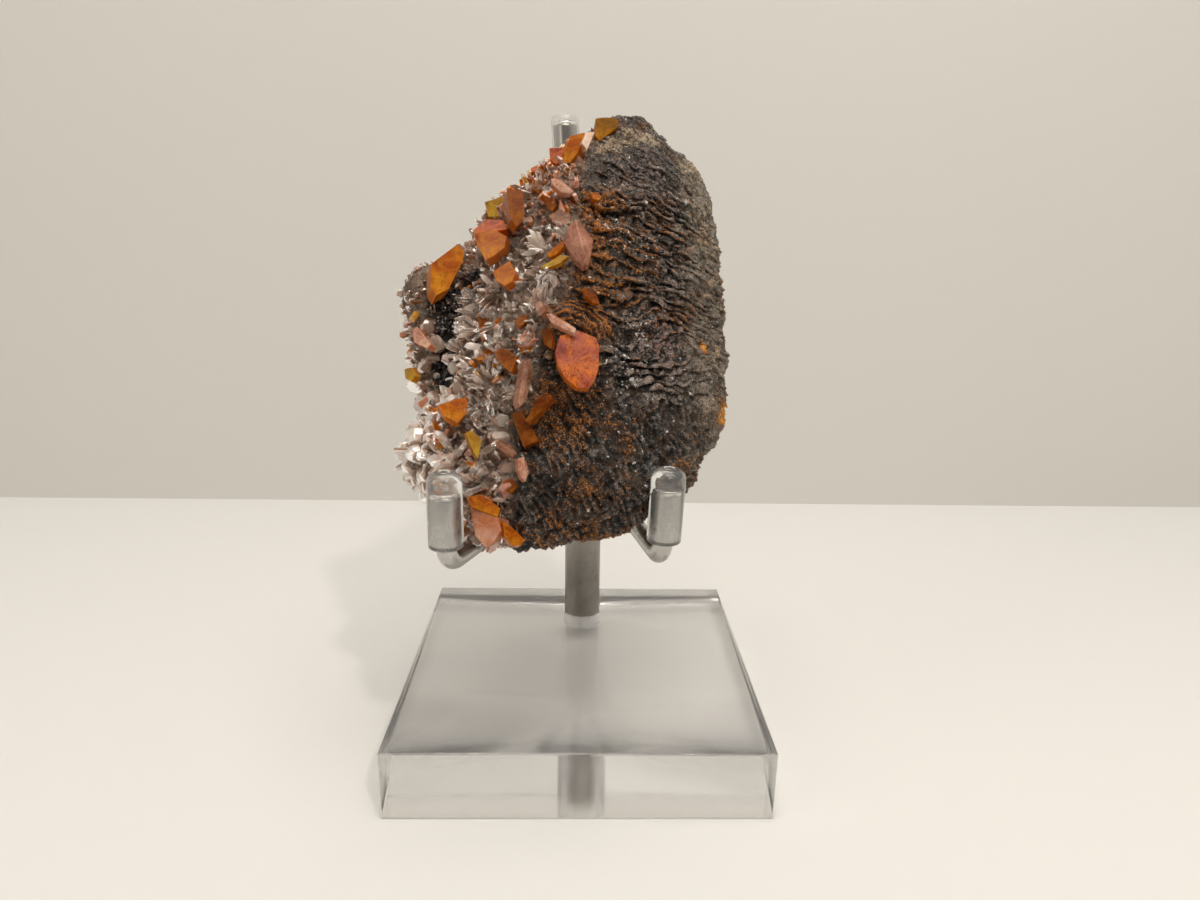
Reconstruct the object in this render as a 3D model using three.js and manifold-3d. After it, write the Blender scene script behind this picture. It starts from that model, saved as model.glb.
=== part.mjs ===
// A wulfenite specimen on its display stand, in millimetres with +Z up.
// The origin is the centre of the block's underside, and -Y is the side the crystals face.
import * as THREE from 'three';
import { mergeVertices } from 'three/addons/utils/BufferGeometryUtils.js';
import Module from 'manifold-3d';

const wasm = await Module();
wasm.setup();

// Stand: a 2 inch acrylic block, a tube post in a drilled hole and three bent rods gathered in it.
const blockSide = 50.8;
const blockThick = 9.6;
const blockBevel = 0.4;
const holeDia = 6.6;
const holeDepth = 5.6;
const drillTip = 1.2;
const postDia = 6;
const postBore = 5.5;
const postBoreDepth = 12;
const postAt = [0.4, 16.5];
const postSunk = 2.7;
const postTop = 31.4;
const postEdge = 0.15;
const postSegments = 20;

const rodDia = 2.4;
const rodSides = 8;
const rodGather = 1.45;
const rodFoot = 21;
const armHeight = 35;
const hubBend = 3;
const tipBend = 2.4;
const rodEnd = 43.7;
const bendSteps = 4;
const frontArms = [
  { side: 'left', corner: [-15.9, -25.1], gatherAngle: 230, splay: 0 },
  { side: 'right', corner: [9.9, -22.7], gatherAngle: -10, splay: 2.5 },
];
const backArm = { gatherAngle: 110, tip: [-3.05, 16.6, 90.6] };

// Clear caps: a blind bore holds the rod's end, under a dome given as steps in from the side and top.
const capDia = 4.2;
const capLength = 9.2;
const capBore = 3;
const capRoof = 2.5;
const capLip = 0.25;
const capDome = [[0.35, 0.7], [1, 0.12]];
const capShoulder = 1.6;
const capSegments = 14;

// Specimen: everything in it is measured in its own leaning plane, x to the right and z up the lean.
const specimenAt = [-2, -4, 62];
const leanDegrees = 26.6;
const touchGap = 0.3;

// The rock's outline in that plane, clockwise from its top.
const rockRim = [
  [5.1, 31.4], [7, 31.7], [10.6, 31.3], [14.8, 26.9], [17.7, 23.4], [19.2, 19.6], [20.1, 14.4],
  [20.8, 8.3], [21.5, 0.2], [21.4, -6.1], [21.1, -10.9], [20.8, -16.6], [18.6, -17.9], [18, -19.6],
  [16, -22.8], [12.6, -25.2], [9.9, -27], [8, -28.8], [4, -30.4], [0.8, -30.7], [-0.3, -31.2],
  [-3.3, -31.4], [-6.8, -31.2], [-9.2, -30.9], [-11, -29], [-12.8, -27.4], [-17.1, -23.8],
  [-21, -20.7], [-20.9, -19.6], [-19.4, -15.8], [-19.2, -10.6], [-20.5, -7.9], [-20.8, -3.7],
  [-21.8, -0.9], [-22.6, 3.2], [-21.9, 6.4], [-19.2, 6.8], [-14.9, 8.9], [-12, 11.3], [-10.5, 15.5],
  [-7.3, 16.9], [-4.5, 20.4], [-1.4, 24.6], [1.4, 27], [3.8, 29.5],
];
// The outline isn't flat: its foot curls forward over the arms and its top back to the rear cap.
const rimFoot = { from: 14, to: 30, depth: -3.5 };
const rimPeak = { from: 14, to: 30, depth: 2.5 };

// Front and back heights over the plane: a base thickness, then broad lumps and hollows.
const frontBase = 4;
const frontEdge = 6;
const frontLumps = [
  { at: [2, -1], reach: [12, 22], rise: 9.5 },
  { at: [0, -19], reach: [12, 8], rise: 1.5 },
  { at: [-15.4, 0], reach: [2.6, 6.5], rise: -3.6 },
  { at: [-16.6, -10], reach: [2.2, 4], rise: -2 },
  { at: [-20, 1], reach: [2.4, 5], rise: 1.2 },
  { at: [-17.5, -19], reach: [4.5, 4], rise: 2.6 },
  { at: [14, 12], reach: [6, 6], rise: 1.2 },
];
const backBase = 7.2;
const backEdge = 3.2;
const backLumps = [
  { at: [-4, -29], reach: [14, 9], rise: -5.5 },
  { at: [5, 4], reach: [9, 12], rise: -1.4 },
  { at: [-10, -10], reach: [8, 9], rise: 1 },
  { at: [12, -14], reach: [7, 7], rise: -2 },
  { at: [-14, 0], reach: [5, 6], rise: -1.8 },
  { at: [-9, -26.5], reach: [3.5, 4.5], rise: 4 },
  { at: [9.5, -24], reach: [4, 4.5], rise: 5.6 },
  { at: [-0.5, 23.5], reach: [5, 4], rise: 2.9 },
];

// Ribs: thin growth layers that fan from the crystal side to the right edge.
const rowStep = 1.2;
const lowestLayer = -31.2;
const highestLayer = 45;
const ribRise = 0.5;
const ribFan = 0.03;
const ribFanLimit = 0.9;
const ribLift = 0.16;
const ribFoot = -11;
const ribStart = 1;
const ribFade = 3;
const flankFrom = 13;
const flankTo = 19;
const flankFade = 0.6;
const detailEdge = 2;
const backCoarser = 1.3;
const frontColumns = 17;
const columnEase = 0.4;
const backColumns = 8;
const roughness = [{ size: 5.5, rise: 1.1 }, { size: 2.3, rise: 0.6 }];
const seed = 7;

// The crystal side's pale crust ends along this line, given as x at each z from the top down.
const crustEdge = [
  [26, 3.2], [13, 0.6], [4, 1.4], [-2, -0.6], [-6, -3.2], [-14, -4.6], [-18, -7], [-22, -6], [-29, -7.2],
];
const crustThin = 0.5;
const crustPoint = 1.5;
const crustPointShare = [0.6, 0.4];
const crustWrap = 0.6;
const crustWrapColumns = 3;
const crustRow = 2;
const crustLeast = 3;

// Wulfenite crystals: where each stands in the plane, how far its middle is in front of the rock,
// its width, height and thickness, its cut corners, and its tilt back, roll and yaw in degrees.
// Crystals of one name have grown through each other and are one solid.
const tablets = [
  { name: 'plate', at: [1.3, -10.2], lift: 1.1, size: [5.3, 7.3, 1.7], cut: 0.3, turn: [-4, 4, 8] },
  { name: 'plate', at: [-0.6, -5.8], lift: 0.9, size: [4.5, 2, 1], cut: 0.2, turn: [70, 28, 0] },
  { name: 'left_block', at: [-16.1, 5], lift: 2.6, size: [4.2, 6.6, 2.8], cut: 0.2, turn: [0, 34, -20] },
  { name: 'amber', at: [-9.6, 13.7], lift: 1.2, size: [2.8, 2.8, 1.6], cut: 0.15, turn: [10, -10, 20] },
  { name: 'tall_brown', at: [-6.5, 10.5], lift: 2.2, size: [2.3, 4.8, 1.8], cut: 0.2, turn: [0, -8, -30] },
  { name: 'upper_orange', at: [-9.9, 6.6], lift: 2.2, size: [3.6, 4.6, 2], cut: 0.25, turn: [8, 20, 15] },
  { name: 'middle_orange', at: [-7.9, 1.7], lift: 1.6, size: [2.8, 3, 1.8], cut: 0.25, turn: [-6, 30, 20] },
  { name: 'top_pair', at: [1.1, 21.8], lift: 2.4, size: [4.8, 2.6, 1.8], cut: 0.25, turn: [10, -38, 10] },
  { name: 'top_pair', at: [-1.8, 19.9], lift: 1.6, size: [2.4, 2.2, 1.6], cut: 0.3, turn: [10, 20, -20] },
  { name: 'olive', at: [5.2, 26.7], lift: 0.8, size: [3, 3.2, 2], cut: 0.2, turn: [6, -8, 12] },
  { name: 'pink_blade', at: [-1, 13], lift: 1.4, size: [3.5, 2, 1], cut: 0.2, turn: [65, 32, 0] },
  { name: 'fan', at: [-13.8, -14.8], lift: 2, size: [3.6, 2.8, 1], cut: 0.35, turn: [40, -16, 12] },
  { name: 'upright_edge', at: [-17.2, -15.9], lift: 1.8, size: [2, 4.2, 0.9], cut: 0.2, turn: [0, -6, 80] },
  { name: 'curved_blade', at: [-3.4, -15.8], lift: 1.3, size: [2.6, 4.4, 1.2], cut: 0.35, turn: [0, 36, 55] },
  { name: 'brown_plate', at: [-4.9, -18.3], lift: 1, size: [2.7, 3.4, 1], cut: 0.2, turn: [0, -14, 24] },
  { name: 'lens', at: [-7, -20], lift: 1.6, size: [3.1, 1.9, 1.1], cut: 0.35, turn: [65, 34, 0] },
  { name: 'small_tip', at: [-4.7, -22.6], lift: 1.7, size: [1.8, 3, 1.1], cut: 0.35, turn: [0, -18, 60] },
  { name: 'low_pair', at: [-9.3, -28.5], lift: 2.4, size: [3.2, 5, 2], cut: 0.25, turn: [0, -22, -16] },
  { name: 'low_pair', at: [-6, -29.9], lift: 2.6, size: [2.7, 2, 1.6], cut: 0.25, turn: [0, 25, 0] },
  { name: 'pink_brown_blade', at: [-4.7, -12.5], lift: 1.9, size: [2.6, 6, 1], cut: 0.35, turn: [0, 12, 62] },
  { name: 'brown_window', at: [-6.7, -9.2], lift: 1.3, size: [2.2, 2.8, 1], cut: 0.2, turn: [6, -14, 18] },
  { name: 'amber_wedge', at: [-10.6, -19.4], lift: 1.8, size: [1.8, 3, 1], cut: 0.3, turn: [0, -20, 35] },
  { name: 'rim_pink', at: [-18.9, -4.4], lift: 1.6, size: [2.2, 2.2, 1.4], cut: 0.25, turn: [0, 40, 10] },
];
const tabletBevel = 0.3;
const bipyramid = {
  name: 'bipyramid', at: [1.2, 4.1], lift: 1.2, width: 3.5, length: 6, waist: 1.4, turn: [6, -12, 0],
};

// ---- Materials

const clearPlastic = { color: 0xe6e8e8, roughness: 0.06, metalness: 0 };
const steel = { color: 0x9c9892, roughness: 0.3, metalness: 1 };
const rockFinish = { color: 0x3d3836, roughness: 0.75, metalness: 0 };
const crustFinish = { color: 0xb9aaa6, roughness: 0.3, metalness: 0 };
const wulfenite = { color: 0xd0662c, roughness: 0.25, metalness: 0 };

// ---- Small helpers

const radians = THREE.MathUtils.degToRad;

function mesh(name, geometry, finish, parent) {
  const made = new THREE.Mesh(geometry, new THREE.MeshStandardMaterial(finish));
  made.name = name;
  parent.add(made);
  return made;
}

function solid(geometry) {
  const bare = geometry.clone().deleteAttribute('normal').deleteAttribute('uv');
  const merged = mergeVertices(bare, 1e-4);
  const vertProperties = new Float32Array(merged.attributes.position.array);
  const triVerts = new Uint32Array(merged.index.array);
  return new wasm.Manifold(new wasm.Mesh({ numProp: 3, vertProperties, triVerts }));
}

function geometryOf(body) {
  const { numProp, vertProperties, triVerts } = body.getMesh();
  const points = [];
  for (let i = 0; i < vertProperties.length; i += numProp) points.push(...vertProperties.slice(i, i + 3));
  const geometry = new THREE.BufferGeometry();
  geometry.setAttribute('position', new THREE.Float32BufferAttribute(points, 3));
  geometry.setIndex([...triVerts]);
  geometry.computeVertexNormals();
  return geometry;
}

// A turned solid standing on z = 0, from [radius, height] pairs that start and end on the axis.
function turned(profile, segments) {
  const points = profile.map(([r, z]) => new THREE.Vector2(r, z));
  return new THREE.LatheGeometry(points, segments).rotateX(Math.PI / 2);
}

function polygon(points) {
  return new THREE.Shape(points.map(([x, y]) => new THREE.Vector2(x, y)));
}

function ring(radius, sides) {
  const turn = (i) => (2 * Math.PI * (i + 0.5)) / sides;
  return Array.from({ length: sides }, (_, i) => [radius * Math.cos(turn(i)), radius * Math.sin(turn(i))]);
}

// Smooth random heights in -1..1 over a plane, the same on every run.
function lattice(i, j, salt) {
  const mixed = Math.sin(i * 127.1 + j * 311.7 + (salt + seed) * 74.7) * 43758.5453;
  return 2 * (mixed - Math.floor(mixed)) - 1;
}

function rough(x, z, size, salt) {
  const i = Math.floor(x / size);
  const j = Math.floor(z / size);
  const u = THREE.MathUtils.smoothstep(x / size - i, 0, 1);
  const v = THREE.MathUtils.smoothstep(z / size - j, 0, 1);
  const low = THREE.MathUtils.lerp(lattice(i, j, salt), lattice(i + 1, j, salt), u);
  const high = THREE.MathUtils.lerp(lattice(i, j + 1, salt), lattice(i + 1, j + 1, salt), u);
  return THREE.MathUtils.lerp(low, high, v);
}

// ---- Stand

function block() {
  const half = blockSide / 2 - blockBevel;
  const outline = polygon([[-half, -half], [half, -half], [half, half], [-half, half]]);
  const slab = new THREE.ExtrudeGeometry(outline, {
    depth: blockThick - 2 * blockBevel,
    bevelThickness: blockBevel,
    bevelSize: blockBevel,
    bevelSegments: 1,
  }).translate(0, 0, blockBevel);
  const floor = blockThick - holeDepth;
  const drill = turned([
    [0, floor - drillTip], [holeDia / 2, floor], [holeDia / 2, blockThick + 1], [0, blockThick + 1],
  ], postSegments).translate(...postAt, 0);
  return geometryOf(solid(slab).subtract(solid(drill)));
}

function post() {
  const foot = blockThick - postSunk;
  const outer = postDia / 2;
  const inner = postBore / 2;
  return turned([
    [0, foot], [outer - postEdge, foot], [outer, foot + postEdge], [outer, postTop], [inner, postTop],
    [inner, postTop - postBoreDepth], [0, postTop - postBoreDepth],
  ], postSegments).translate(...postAt, 0);
}

// A curve read off at its own stations, so that straight runs take one step and bends take a few.
class StationCurve extends THREE.Curve {
  constructor(stations) {
    super();
    this.stations = stations;
  }

  at(u) {
    return this.stations[Math.round(u * (this.stations.length - 1))];
  }

  getPointAt(u, target = new THREE.Vector3()) {
    return target.copy(this.at(u).point);
  }

  getTangentAt(u, target = new THREE.Vector3()) {
    return target.copy(this.at(u).along);
  }
}

// Stations along a bent rod: its corners, each rounded to the bend's radius on the rod's centre line.
function bentStations(corners, radii) {
  const direction = (i) => corners[i + 1].clone().sub(corners[i]).normalize();
  const stations = [{ point: corners[0], along: direction(0) }];
  for (let i = 1; i < corners.length - 1; i++) {
    const before = direction(i - 1);
    const after = direction(i);
    const angle = before.angleTo(after);
    const reach = radii[i - 1] * Math.tan(angle / 2);
    const inward = after.clone().addScaledVector(before, -before.dot(after)).normalize();
    const start = corners[i].clone().addScaledVector(before, -reach);
    for (let k = 0; k <= bendSteps; k++) {
      const turn = (angle * k) / bendSteps;
      const point = start.clone()
        .addScaledVector(before, radii[i - 1] * Math.sin(turn))
        .addScaledVector(inward, radii[i - 1] * (1 - Math.cos(turn)));
      const along = before.clone().multiplyScalar(Math.cos(turn)).addScaledVector(inward, Math.sin(turn));
      stations.push({ point, along });
    }
  }
  stations.push({ point: corners.at(-1), along: direction(corners.length - 2) });
  return stations;
}

function rod(corners, radii) {
  const stations = bentStations(corners, radii);
  return new THREE.ExtrudeGeometry(polygon(ring(rodDia / 2, rodSides)), {
    steps: stations.length - 1,
    bevelEnabled: false,
    extrudePath: new StationCurve(stations),
  });
}

function rodFootAt(angle) {
  const x = postAt[0] + rodGather * Math.cos(radians(angle));
  const y = postAt[1] + rodGather * Math.sin(radians(angle));
  return new THREE.Vector3(x, y, rodFoot);
}

function frontArmCorners({ corner, gatherAngle, splay }) {
  const foot = rodFootAt(gatherAngle);
  const tip = new THREE.Vector3(...corner, armHeight);
  const rise = rodEnd - armHeight;
  const lean = new THREE.Vector3(rise * Math.tan(radians(splay)), 0, rise);
  return [foot, foot.clone().setZ(armHeight), tip, tip.clone().add(lean)];
}

function cap() {
  const outer = capDia / 2;
  const inner = capBore / 2;
  return turned([
    [0, capLength - capRoof], [inner, capLength - capRoof], [inner, 0], [outer - capLip, 0],
    [outer, capLip], [outer, capLength - capShoulder],
    ...capDome.map(([side, top]) => [outer - side, capLength - top]), [0, capLength],
  ], capSegments);
}

// A cap slid along its rod so that its roof is just clear of the rod's end.
function placeCap(name, rodTop, along, parent) {
  const made = mesh(name, cap(), clearPlastic, parent);
  made.position.copy(rodTop).addScaledVector(along, capRoof + touchGap - capLength);
  made.quaternion.setFromUnitVectors(new THREE.Vector3(0, 0, 1), along);
}

function stand(parent) {
  mesh('base_block', block(), clearPlastic, parent);
  mesh('post', post(), steel, parent);
  for (const arm of frontArms) {
    const corners = frontArmCorners(arm);
    const along = corners[3].clone().sub(corners[2]).normalize();
    mesh(`arm_front_${arm.side}`, rod(corners, [hubBend, tipBend]), steel, parent);
    placeCap(`tip_front_${arm.side}`, corners[3], along, parent);
  }
  const foot = rodFootAt(backArm.gatherAngle);
  const knee = foot.clone().setZ(armHeight);
  const capTop = new THREE.Vector3(...backArm.tip);
  const along = capTop.clone().sub(knee).normalize();
  const rodTop = capTop.clone().addScaledVector(along, -capRoof - touchGap);
  mesh('arm_back', rod([foot, knee, rodTop], [hubBend]), steel, parent);
  placeCap('tip_back', rodTop, along, parent);
}

// ---- Rock

function insideRim(x, z) {
  let inside = false;
  rockRim.forEach(([x1, z1], i) => {
    const [x2, z2] = rockRim[(i + 1) % rockRim.length];
    if (z1 > z !== z2 > z && x < x1 + ((z - z1) * (x2 - x1)) / (z2 - z1)) inside = !inside;
  });
  return inside;
}

function rimDistance(x, z) {
  const here = new THREE.Vector2(x, z);
  return Math.min(...rockRim.map(([x1, z1], i) => {
    const a = new THREE.Vector2(x1, z1);
    const side = new THREE.Vector2(...rockRim[(i + 1) % rockRim.length]).sub(a);
    const share = THREE.MathUtils.clamp(here.clone().sub(a).dot(side) / side.lengthSq(), 0, 1);
    return here.distanceTo(a.addScaledVector(side, share));
  }));
}

// Rises from 0 at the rim to 1 at the given distance inside it, upright at the rim.
function rounded(distance, width) {
  const left = 1 - Math.min(distance / width, 1);
  return Math.sqrt(1 - left * left);
}

function rimDepth(z) {
  const foot = rimFoot.depth * THREE.MathUtils.smoothstep(-z, rimFoot.from, rimFoot.to);
  return foot + rimPeak.depth * THREE.MathUtils.smoothstep(z, rimPeak.from, rimPeak.to);
}

function lumps(list, x, z) {
  return list.reduce((sum, { at, reach, rise }) => {
    const far = ((x - at[0]) / reach[0]) ** 2 + ((z - at[1]) / reach[1]) ** 2;
    return sum + rise * Math.exp(-far);
  }, 0);
}

function grain(x, z, salt) {
  return roughness.reduce((sum, { size, rise }, k) => sum + rise * rough(x, z, size, salt + k), 0);
}

function crustEdgeX(z) {
  const after = crustEdge.findIndex(([level]) => level <= z);
  if (after === 0) return crustEdge[0][1];
  if (after < 0) return crustEdge.at(-1)[1];
  const [z1, x1] = crustEdge[after - 1];
  const [z2, x2] = crustEdge[after];
  return x1 + ((z - z1) * (x2 - x1)) / (z2 - z1);
}

// The height at x of the layer that runs level at the crystal side: the layers fan out to the right.
function layerHeight(level, x) {
  const fan = level > 0
    ? -Math.min(ribFan * level, ribFanLimit)
    : ribLift * Math.sin(Math.PI * Math.min(-level / 20, 1));
  return level + Math.max(x - ribStart, 0) * fan;
}

function ribShare(x, z) {
  const across = THREE.MathUtils.smoothstep(x - crustEdgeX(z), 0, ribFade);
  const down = THREE.MathUtils.smoothstep(z, ribFoot - ribFade, ribFoot + ribFade);
  const flank = THREE.MathUtils.smoothstep(x, flankFrom, flankTo);
  return across * down * (1 - flankFade * flank);
}

function frontHeight(x, z, rib = 0) {
  const edge = rimDistance(x, z);
  const broad = rounded(edge, frontEdge) * (frontBase + lumps(frontLumps, x, z));
  return broad + rounded(edge, detailEdge) * (grain(x, z, 1) + rib * ribRise * ribShare(x, z));
}

function backHeight(x, z) {
  const edge = rimDistance(x, z);
  const height = backBase + lumps(backLumps, x, z) + backCoarser * grain(x, z, 5);
  return rounded(edge, backEdge) * height;
}

// Where a layer enters and leaves the outline, or nothing if it passes outside.
function layerSpan(level) {
  const step = 0.1;
  const reach = blockSide / 2;
  let first = null;
  let last = null;
  for (let x = -reach; x <= reach; x += step) {
    if (!insideRim(x, layerHeight(level, x))) continue;
    first ??= x;
    last = x;
  }
  return last - first > step ? [first, last] : null;
}

function layerLevels() {
  const count = Math.ceil((highestLayer - lowestLayer) / rowStep);
  return Array.from({ length: count }, (_, i) => lowestLayer + i * rowStep).filter(layerSpan);
}

// The rows of points that both the rock's front and the crust are made on.
function frontGrid() {
  return layerLevels().map((level, row) => {
    const [left, right] = layerSpan(level);
    return Array.from({ length: frontColumns + 1 }, (_, k) => {
      const even = k / frontColumns;
      const eased = (1 - Math.cos(Math.PI * even)) / 2;
      const share = THREE.MathUtils.lerp(even, eased, columnEase);
      const x = THREE.MathUtils.lerp(left, right, share);
      const z = layerHeight(level, x);
      const height = k === 0 || k === frontColumns ? 0 : frontHeight(x, z, row % 2 ? 1 : -1);
      return new THREE.Vector3(x, rimDepth(z) - height, z);
    });
  });
}

function indexed(points, faces) {
  const geometry = new THREE.BufferGeometry().setFromPoints(points);
  geometry.setIndex(faces);
  geometry.computeVertexNormals();
  return geometry;
}

// The whole rock: each row is a closed loop over the front and back, and the end rows close on a point.
function rock(grid) {
  const loops = grid.map((row) => {
    const [left, right] = [row[0], row.at(-1)];
    const back = Array.from({ length: backColumns - 1 }, (_, k) => {
      const share = (1 - Math.cos((Math.PI * (k + 1)) / backColumns)) / 2;
      const point = right.clone().lerp(left, share);
      return point.setY(rimDepth(point.z) + backHeight(point.x, point.z));
    });
    return [...row, ...back];
  });
  const size = loops[0].length;
  const points = loops.flat();
  const foot = points.push(middle(loops[0])) - 1;
  const peak = points.push(middle(loops.at(-1))) - 1;
  const faces = [];
  for (let j = 0; j < size; j++) {
    const next = (j + 1) % size;
    const last = (loops.length - 1) * size;
    faces.push(foot, next, j, peak, last + j, last + next);
    for (let i = 0; i < loops.length - 1; i++) {
      const low = i * size;
      const high = low + size;
      faces.push(low + j, low + next, high + next, low + j, high + next, high + j);
    }
  }
  return indexed(points, faces);
}

function middle(loop) {
  const sum = loop.reduce((total, point) => total.add(point), new THREE.Vector3());
  return sum.divideScalar(loop.length);
}

// ---- Crust and crystals

// The pale crust: a sheet over the crystal side of the rock, wrapped onto its rim and pointed at every
// other grid point. Its inside follows the rock's own faces at a small gap.
function crust(grid) {
  const pastEdge = ({ x, z }, k) => k >= crustLeast && x > crustEdgeX(z);
  const columns = grid.map((row) => row.findIndex(pastEdge) - 1);
  const lastRow = columns.findLastIndex((count) => count > crustLeast);
  const points = [];
  const faces = [];
  const keys = new Map();
  const corner = (i, k, outer) => {
    const key = `${i},${k},${outer}`;
    if (!keys.has(key)) {
      const turn = (Math.PI / 2) * Math.min((k + crustWrap) / (crustWrapColumns + crustWrap), 1);
      const outward = new THREE.Vector3(-Math.cos(turn), -Math.sin(turn), 0);
      const [least, spread] = crustPointShare;
      const pointed = (i + k) % 2 ? crustPoint * (least + spread * lattice(i, k, 9)) : 0;
      const height = touchGap + (outer ? crustThin + pointed : 0);
      keys.set(key, points.push(grid[i][k].clone().addScaledVector(outward, height)) - 1);
    }
    return keys.get(key);
  };
  const width = (i) => Math.min(columns[i], columns[i + 1]);
  const covered = (i, k) => i >= crustRow && i < lastRow && k >= 0 && k < width(i);
  const wall = (a, b) => {
    const [lowA, lowB, highA, highB] = [corner(...a, 0), corner(...b, 0), corner(...a, 1), corner(...b, 1)];
    faces.push(lowA, lowB, highB, lowA, highB, highA);
  };
  for (let i = crustRow; i < lastRow; i++) {
    for (let k = 0; covered(i, k); k++) {
      for (const outer of [0, 1]) {
        const quad = [[i, k], [i, k + 1], [i + 1, k + 1], [i + 1, k]].map((spot) => corner(...spot, outer));
        const [a, b, c, d] = outer ? quad : quad.reverse();
        if (outer && (i + k) % 2) faces.push(a, b, c, a, c, d);
        else faces.push(a, b, d, b, c, d);
      }
      if (!covered(i - 1, k)) wall([i, k], [i, k + 1]);
      if (!covered(i, k + 1)) wall([i, k + 1], [i + 1, k + 1]);
      if (!covered(i + 1, k)) wall([i + 1, k + 1], [i + 1, k]);
      if (!covered(i, k - 1)) wall([i + 1, k], [i, k]);
    }
  }
  return indexed(points, faces);
}

// A tablet with cut corners, its broad faces to the front and back, drawn in by a bevel on each rim.
function tablet([width, height, thickness], cut, bevel, grow = 0) {
  const [w, h] = [width / 2 + grow - bevel, height / 2 + grow - bevel];
  const c = 2 * cut * Math.min(w, h);
  const outline = polygon([
    [-w + c, -h], [w - c, -h], [w, -h + c], [w, h - c], [w - c, h], [-w + c, h], [-w, h - c], [-w, -h + c],
  ]);
  const depth = thickness + 2 * grow;
  return new THREE.ExtrudeGeometry(outline, {
    depth: depth - 2 * bevel,
    bevelEnabled: bevel > 0,
    bevelThickness: bevel,
    bevelSize: bevel,
    bevelSegments: 1,
  }).translate(0, 0, bevel - depth / 2).rotateX(Math.PI / 2);
}

function hexBipyramid({ width, length, waist }, grow = 0) {
  const radius = width / 2 + grow;
  const half = length / 2 + grow;
  return turned([[0, -half], [radius, -waist / 2], [radius, waist / 2], [0, half]], 6);
}

function place(geometry, { at: [x, z], lift, turn }) {
  const turns = new THREE.Euler(...turn.map(radians), 'YXZ');
  const matrix = new THREE.Matrix4().makeRotationFromEuler(turns);
  return geometry.applyMatrix4(matrix).translate(x, rimDepth(z) - frontHeight(x, z) - lift, z);
}

function specimen(parent) {
  const group = new THREE.Group();
  group.position.set(...specimenAt);
  group.rotation.x = -radians(leanDegrees);
  parent.add(group);

  const grid = frontGrid();
  let rockBody = solid(rock(grid));
  let crustBody = solid(crust(grid));
  const crystals = new Map();
  const grow = (name, shape, whole, socket) => {
    const crystal = solid(place(whole, shape));
    crystals.set(name, crystals.has(name) ? crystals.get(name).add(crystal) : crystal);
    const seat = solid(place(socket, shape));
    rockBody = rockBody.subtract(seat);
    crustBody = crustBody.subtract(seat);
  };
  for (const shape of tablets) {
    const { name, size, cut } = shape;
    grow(name, shape, tablet(size, cut, tabletBevel), tablet(size, cut, 0, touchGap));
  }
  grow(bipyramid.name, bipyramid, hexBipyramid(bipyramid), hexBipyramid(bipyramid, touchGap));

  crystals.forEach((body, name) => mesh(`wulfenite_${name}`, geometryOf(body), wulfenite, group));
  mesh('matrix', geometryOf(rockBody), rockFinish, group);
  mesh('pale_crust', geometryOf(crustBody), crustFinish, group);
}

const part = new THREE.Group();
stand(part);
specimen(part);

export default part;
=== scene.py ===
import itertools
import math

import bmesh
import bpy
import numpy as np
from mathutils import Matrix, Vector
from mathutils.bvhtree import BVHTree


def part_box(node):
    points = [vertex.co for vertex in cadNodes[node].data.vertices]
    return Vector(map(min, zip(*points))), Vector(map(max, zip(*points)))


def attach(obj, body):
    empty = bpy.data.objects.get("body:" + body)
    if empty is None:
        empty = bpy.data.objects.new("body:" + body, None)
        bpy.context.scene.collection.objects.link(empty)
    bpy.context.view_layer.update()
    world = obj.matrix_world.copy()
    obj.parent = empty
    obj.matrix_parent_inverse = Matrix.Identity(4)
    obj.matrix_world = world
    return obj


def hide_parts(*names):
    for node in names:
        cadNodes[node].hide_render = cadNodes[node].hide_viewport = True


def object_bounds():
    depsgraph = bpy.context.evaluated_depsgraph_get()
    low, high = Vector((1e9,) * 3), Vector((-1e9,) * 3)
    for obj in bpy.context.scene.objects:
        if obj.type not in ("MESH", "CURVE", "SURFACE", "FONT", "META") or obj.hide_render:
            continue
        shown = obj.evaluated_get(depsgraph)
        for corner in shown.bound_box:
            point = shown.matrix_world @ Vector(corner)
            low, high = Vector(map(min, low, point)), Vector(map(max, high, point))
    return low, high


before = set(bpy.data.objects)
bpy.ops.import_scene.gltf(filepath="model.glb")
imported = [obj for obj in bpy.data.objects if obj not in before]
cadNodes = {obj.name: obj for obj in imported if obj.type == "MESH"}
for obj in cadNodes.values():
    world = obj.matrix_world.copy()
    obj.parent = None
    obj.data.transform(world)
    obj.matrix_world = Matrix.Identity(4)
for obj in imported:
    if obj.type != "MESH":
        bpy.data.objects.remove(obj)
cadLow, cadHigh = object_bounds()
scene = bpy.context.scene
mm = 0.001  # sizes below are in millimetres, and Blender's are in metres

# the camera stands in front of the block and a little above the specimen's middle
cameraPlace = {
    "at": (-0.255, -118.581, 73.878), "yaw": 1.418, "pitch": 14.735, "roll": 0.926, "lens": 25.26,
    "sensor": 36, "nearest": 1,
}


def addCamera():
    yaw, pitch, roll = (math.radians(cameraPlace[key]) for key in ("yaw", "pitch", "roll"))
    turn = Matrix.Rotation(-yaw, 4, "Z") @ Matrix.Rotation(math.pi / 2 - pitch, 4, "X")
    lens = bpy.data.cameras.new("camera")
    lens.sensor_width = cameraPlace["sensor"]
    lens.lens = cameraPlace["lens"]
    lens.clip_start = cameraPlace["nearest"] * mm
    eye = bpy.data.objects.new("camera", lens)
    place = Matrix.Translation(Vector(cameraPlace["at"]) * mm)
    eye.matrix_world = place @ turn @ Matrix.Rotation(roll, 4, "Z")
    scene.collection.objects.link(eye)
    scene.camera = eye


addCamera()
print("camera placed")

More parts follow.
